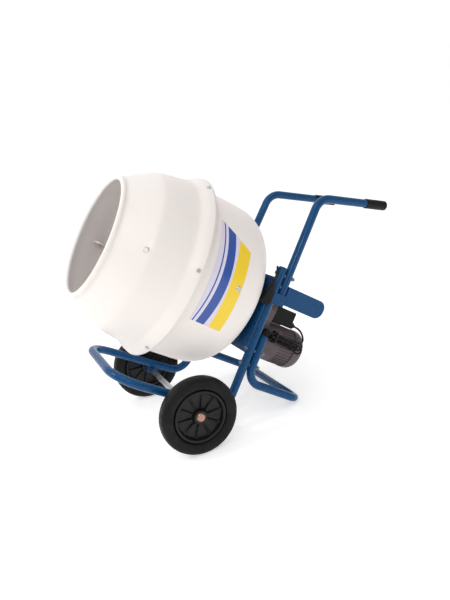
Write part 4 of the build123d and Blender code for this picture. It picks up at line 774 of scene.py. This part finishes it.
@dataclass
class MainsLead:
    """The mains lead: from the gland into a tied hank, and over the plate to its plug."""

    diameter: float = 7 * MM
    length: float = 1.75
    first_turn: float = -80.0
    pitch: float = 8.0
    sag: float = 6.0
    rear_folds: tuple[float, ...] = (264.0, 240.0, 256.0)
    tie_middle: tuple[float, float] = (270.5, -88.5)
    tie_half: tuple[float, float] = (19.0, 16.0)
    tie_span: tuple[float, float] = (128.0, 139.0)
    tie_thickness: float = 1.8
    near_gland: tuple[tuple[float, float, float], ...] = (
        (244, 329, -13), (258, 329, -13), (270, 322, -31), (272, 304, -57), (262, 284, -79))
    leaving_hank: tuple[tuple[float, float, float], ...] = (
        (216, 276, -100), (150, 283, -96), (96, 280, -93))
    to_plug: tuple[tuple[float, float, float], ...] = (
        (66, 273, -90), (44, 296, -106), (30, 334, -119), (26, 382, -127), (25, 430, -134),
        (14, 468, -143), (-10, 491, -160), (-28, 493, -188), (-28, 474, -204), (-28, 452, -204))

    def build(self) -> None:
        route = self.route()
        lead = self.make_lead(route)
        tie = self.make_tie()

    def route(self) -> np.ndarray:
        """Control points of the whole lead, in metres.

        The hank is made turn by turn: each turn runs forwards along the upper row,
        round a fold, back along the lower row and round its own rear fold.  Every turn
        lies a pitch further out and sags a little more than the one before it.

        Returns:
            One row for each control point.
        """
        points = list(self.near_gland)
        for turn, reach in enumerate(self.rear_folds):
            y = self.first_turn - self.pitch * turn
            drop = self.sag * turn
            points += [(226, 282 - drop, y), (150, 278 - drop / 2, y), (108, 280, y - 0.4),
                       (90, 286, y - 1.0), (76, 268, y - 1.4), (90, 251, y - 1.0),
                       (112, 261, y - 0.4), (160, 262 - drop / 2, y)]
            points += [(reach - 30, 262 - drop, y), (reach - 8, 254 - drop, y - 2.0),
                       (reach + 2, 270 - drop, y - 4.0), (reach - 12, 284 - drop, y - 6.0)]
        points += [*self.leaving_hank, *self.to_plug]
        t, s, y = (np.array(points) * MM).T
        return MACHINE.place(t, s, y)

    def make_lead(self, route: np.ndarray) -> bpy.types.Object:
        """The lead itself: one smooth spline through the route, with a round section."""
        curve = bpy.data.curves.new("mains_lead", "CURVE")
        curve.dimensions = "3D"
        spline = curve.splines.new("NURBS")
        spline.points.add(len(route) - 1)
        spline.points.foreach_set("co", np.hstack([route, np.ones((len(route), 1))]).ravel())
        spline.order_u = 3
        spline.use_endpoint_u = True
        spline.resolution_u = 8
        curve.bevel_depth = self.diameter / 2
        curve.bevel_resolution = 4
        curve.use_fill_caps = True
        lead = bpy.data.objects.new("mains_lead", curve)
        bpy.context.scene.collection.objects.link(lead)
        finish_piece(lead, SHEATH, "frame")
        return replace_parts(lead, "lead_loop", "lead_hank", "lead_end")

    def make_tie(self) -> bpy.types.Object:
        """Rubber strap round the hank: a flat band bent into a rounded loop.

        The loop is a superellipse, and the band is that loop at its inner and its outer
        size, at both edges of its span along the hank.
        """
        angle = np.linspace(0, TAU, 48, endpoint=False)
        power = 2.0 / 3.2
        across = np.sign(np.cos(angle)) * np.abs(np.cos(angle)) ** power
        upward = np.sign(np.sin(angle)) * np.abs(np.sin(angle)) ** power
        middle_s, middle_y = self.tie_middle
        half_s, half_y = self.tie_half
        first, last = self.tie_span
        wide = 1 + self.tie_thickness / half_y
        rings = [(first, 1.0), (first, wide), (last, wide), (last, 1.0)]
        t = np.array([ring[0] for ring in rings])[:, None] * MM
        grow = np.array([ring[1] for ring in rings])[:, None]
        s = (middle_s + half_s * grow * upward) * MM
        y = (middle_y + half_y * grow * across) * MM
        tie = mesh_from_grid("hank_tie", MACHINE.place(t, s, y), (True, True))
        return finish_piece(tie, SHEATH, "frame")


# ------------------------------------------------------------------ stage
@dataclass
class Studio:
    """Floor, soft light and the camera."""

    camera_place: tuple[float, float, float] = (-0.8081, -1.8552, 0.9746)
    yaw: float = 22.5465
    pitch: float = 16.6964
    roll: float = 9.3396
    focal_pixels: float = 601.17
    picture_height: int = 600
    sensor: float = 36.0
    floor_reach: float = 9.0
    floor_half: float = 16.0
    sweep_start: float = 4.0
    sweep_radius: float = 3.0
    wall_height: float = 14.0
    floor_glow: float = 0.50
    sky_strength: float = 0.50

    def build(self) -> None:
        """Make the stage."""
        self.make_floor()
        self.make_world()
        self.make_light("key_light", (-1.2, -1.3, 3.2), 1.1, 12.0)
        self.make_light("glint_light", (-1.3, -2.4, 2.2), 0.22, 9.0)
        self.make_light("mouth_light", (-1.9, 0.1, 1.75), 0.5, 11.0)
        self.make_light("top_light", (0.1, 0.2, 2.8), 1.8, 6.0)
        self.make_camera()

    def make_floor(self) -> None:
        """A wide pale floor that rises behind the machine in one smooth sweep.

        Its height is nought up to the bend and then a quarter circle into a wall.
        """
        turn = np.linspace(0, math.pi / 2, 24)
        bend = self.sweep_radius
        along = np.concatenate([[-self.floor_reach], self.sweep_start + bend * np.sin(turn),
                                [self.sweep_start + bend]])
        height = np.concatenate([[0.0], bend - bend * np.cos(turn), [self.wall_height]])
        across = np.array([-self.floor_half, self.floor_half])[:, None]
        points = np.stack(np.broadcast_arrays(across, along[None, :], height[None, :]), axis=-1)
        floor = mesh_from_grid("floor", points, (False, False))
        if floor.data.polygons[0].normal.z < 0:
            floor.data.flip_normals()
        shader = Shader("floor_paper", (0.80, 0.80, 0.80), 0.9, gleam=0.0)
        shader.paint(shader.colours(shader.noise(1.5), (0.79, 0.79, 0.79), (0.81, 0.81, 0.81)))
        shader.surface.inputs["Emission Color"].default_value = (1.0, 1.0, 1.0, 1.0)
        shader.surface.inputs["Emission Strength"].default_value = self.floor_glow
        floor.data.materials.append(shader.material)

    def make_world(self) -> None:
        """Even white surroundings."""
        world = bpy.data.worlds.new("studio")
        world.use_nodes = True
        sky = world.node_tree.nodes["Background"]
        sky.inputs["Color"].default_value = (1.0, 1.0, 1.0, 1.0)
        sky.inputs["Strength"].default_value = self.sky_strength
        bpy.context.scene.world = world
        bpy.context.scene.view_settings.view_transform = "Standard"

    def make_light(self, name: str, place: tuple[float, float, float], size: float, power: float) -> None:
        """A large square light that faces the machine."""
        lamp = bpy.data.lights.new(name, "AREA")
        lamp.size = size
        lamp.energy = power
        holder = bpy.data.objects.new(name, lamp)
        holder.location = place
        aim = Vector((0.0, 0.0, 0.4)) - Vector(place)
        holder.rotation_euler = aim.to_track_quat("-Z", "Y").to_euler()
        bpy.context.scene.collection.objects.link(holder)

    def make_camera(self) -> None:
        """The camera, from its heading, its dip and its roll."""
        yaw, dip, roll = (math.radians(a) for a in (self.yaw, self.pitch, self.roll))
        forward = Vector((math.sin(yaw) * math.cos(dip), math.cos(yaw) * math.cos(dip), -math.sin(dip)))
        level = Vector((math.cos(yaw), -math.sin(yaw), 0.0))
        down = forward.cross(level)
        right = level * math.cos(roll) + down * math.sin(roll)
        below = down * math.cos(roll) - level * math.sin(roll)
        data = bpy.data.cameras.new("camera")
        data.sensor_width = self.sensor
        data.lens = self.focal_pixels * self.sensor / self.picture_height
        camera = bpy.data.objects.new("camera", data)
        turn = Matrix((right, -below, -forward)).transposed()
        camera.matrix_world = Matrix.Translation(Vector(self.camera_place)) @ turn.to_4x4()
        bpy.context.scene.collection.objects.link(camera)
        bpy.context.scene.camera = camera


@dataclass
class Mixer:
    """The whole machine, sub-assembly by sub-assembly."""

    parts: list = field(default_factory=lambda: [Drum(), Frame(), Wheels(), Drive(), Switch(), MainsLead()])

    def build(self) -> None:
        """Build every sub-assembly in order."""
        for part in self.parts:
            part.build()
            LOG.info("built %s", type(part).__name__)


def main() -> None:
    """Build the mixer and its stage."""
    logging.basicConfig(level=logging.INFO, format="%(name)s %(message)s")
    Mixer().build()
    Studio().build()


if __name__ == "__main__":
    main()
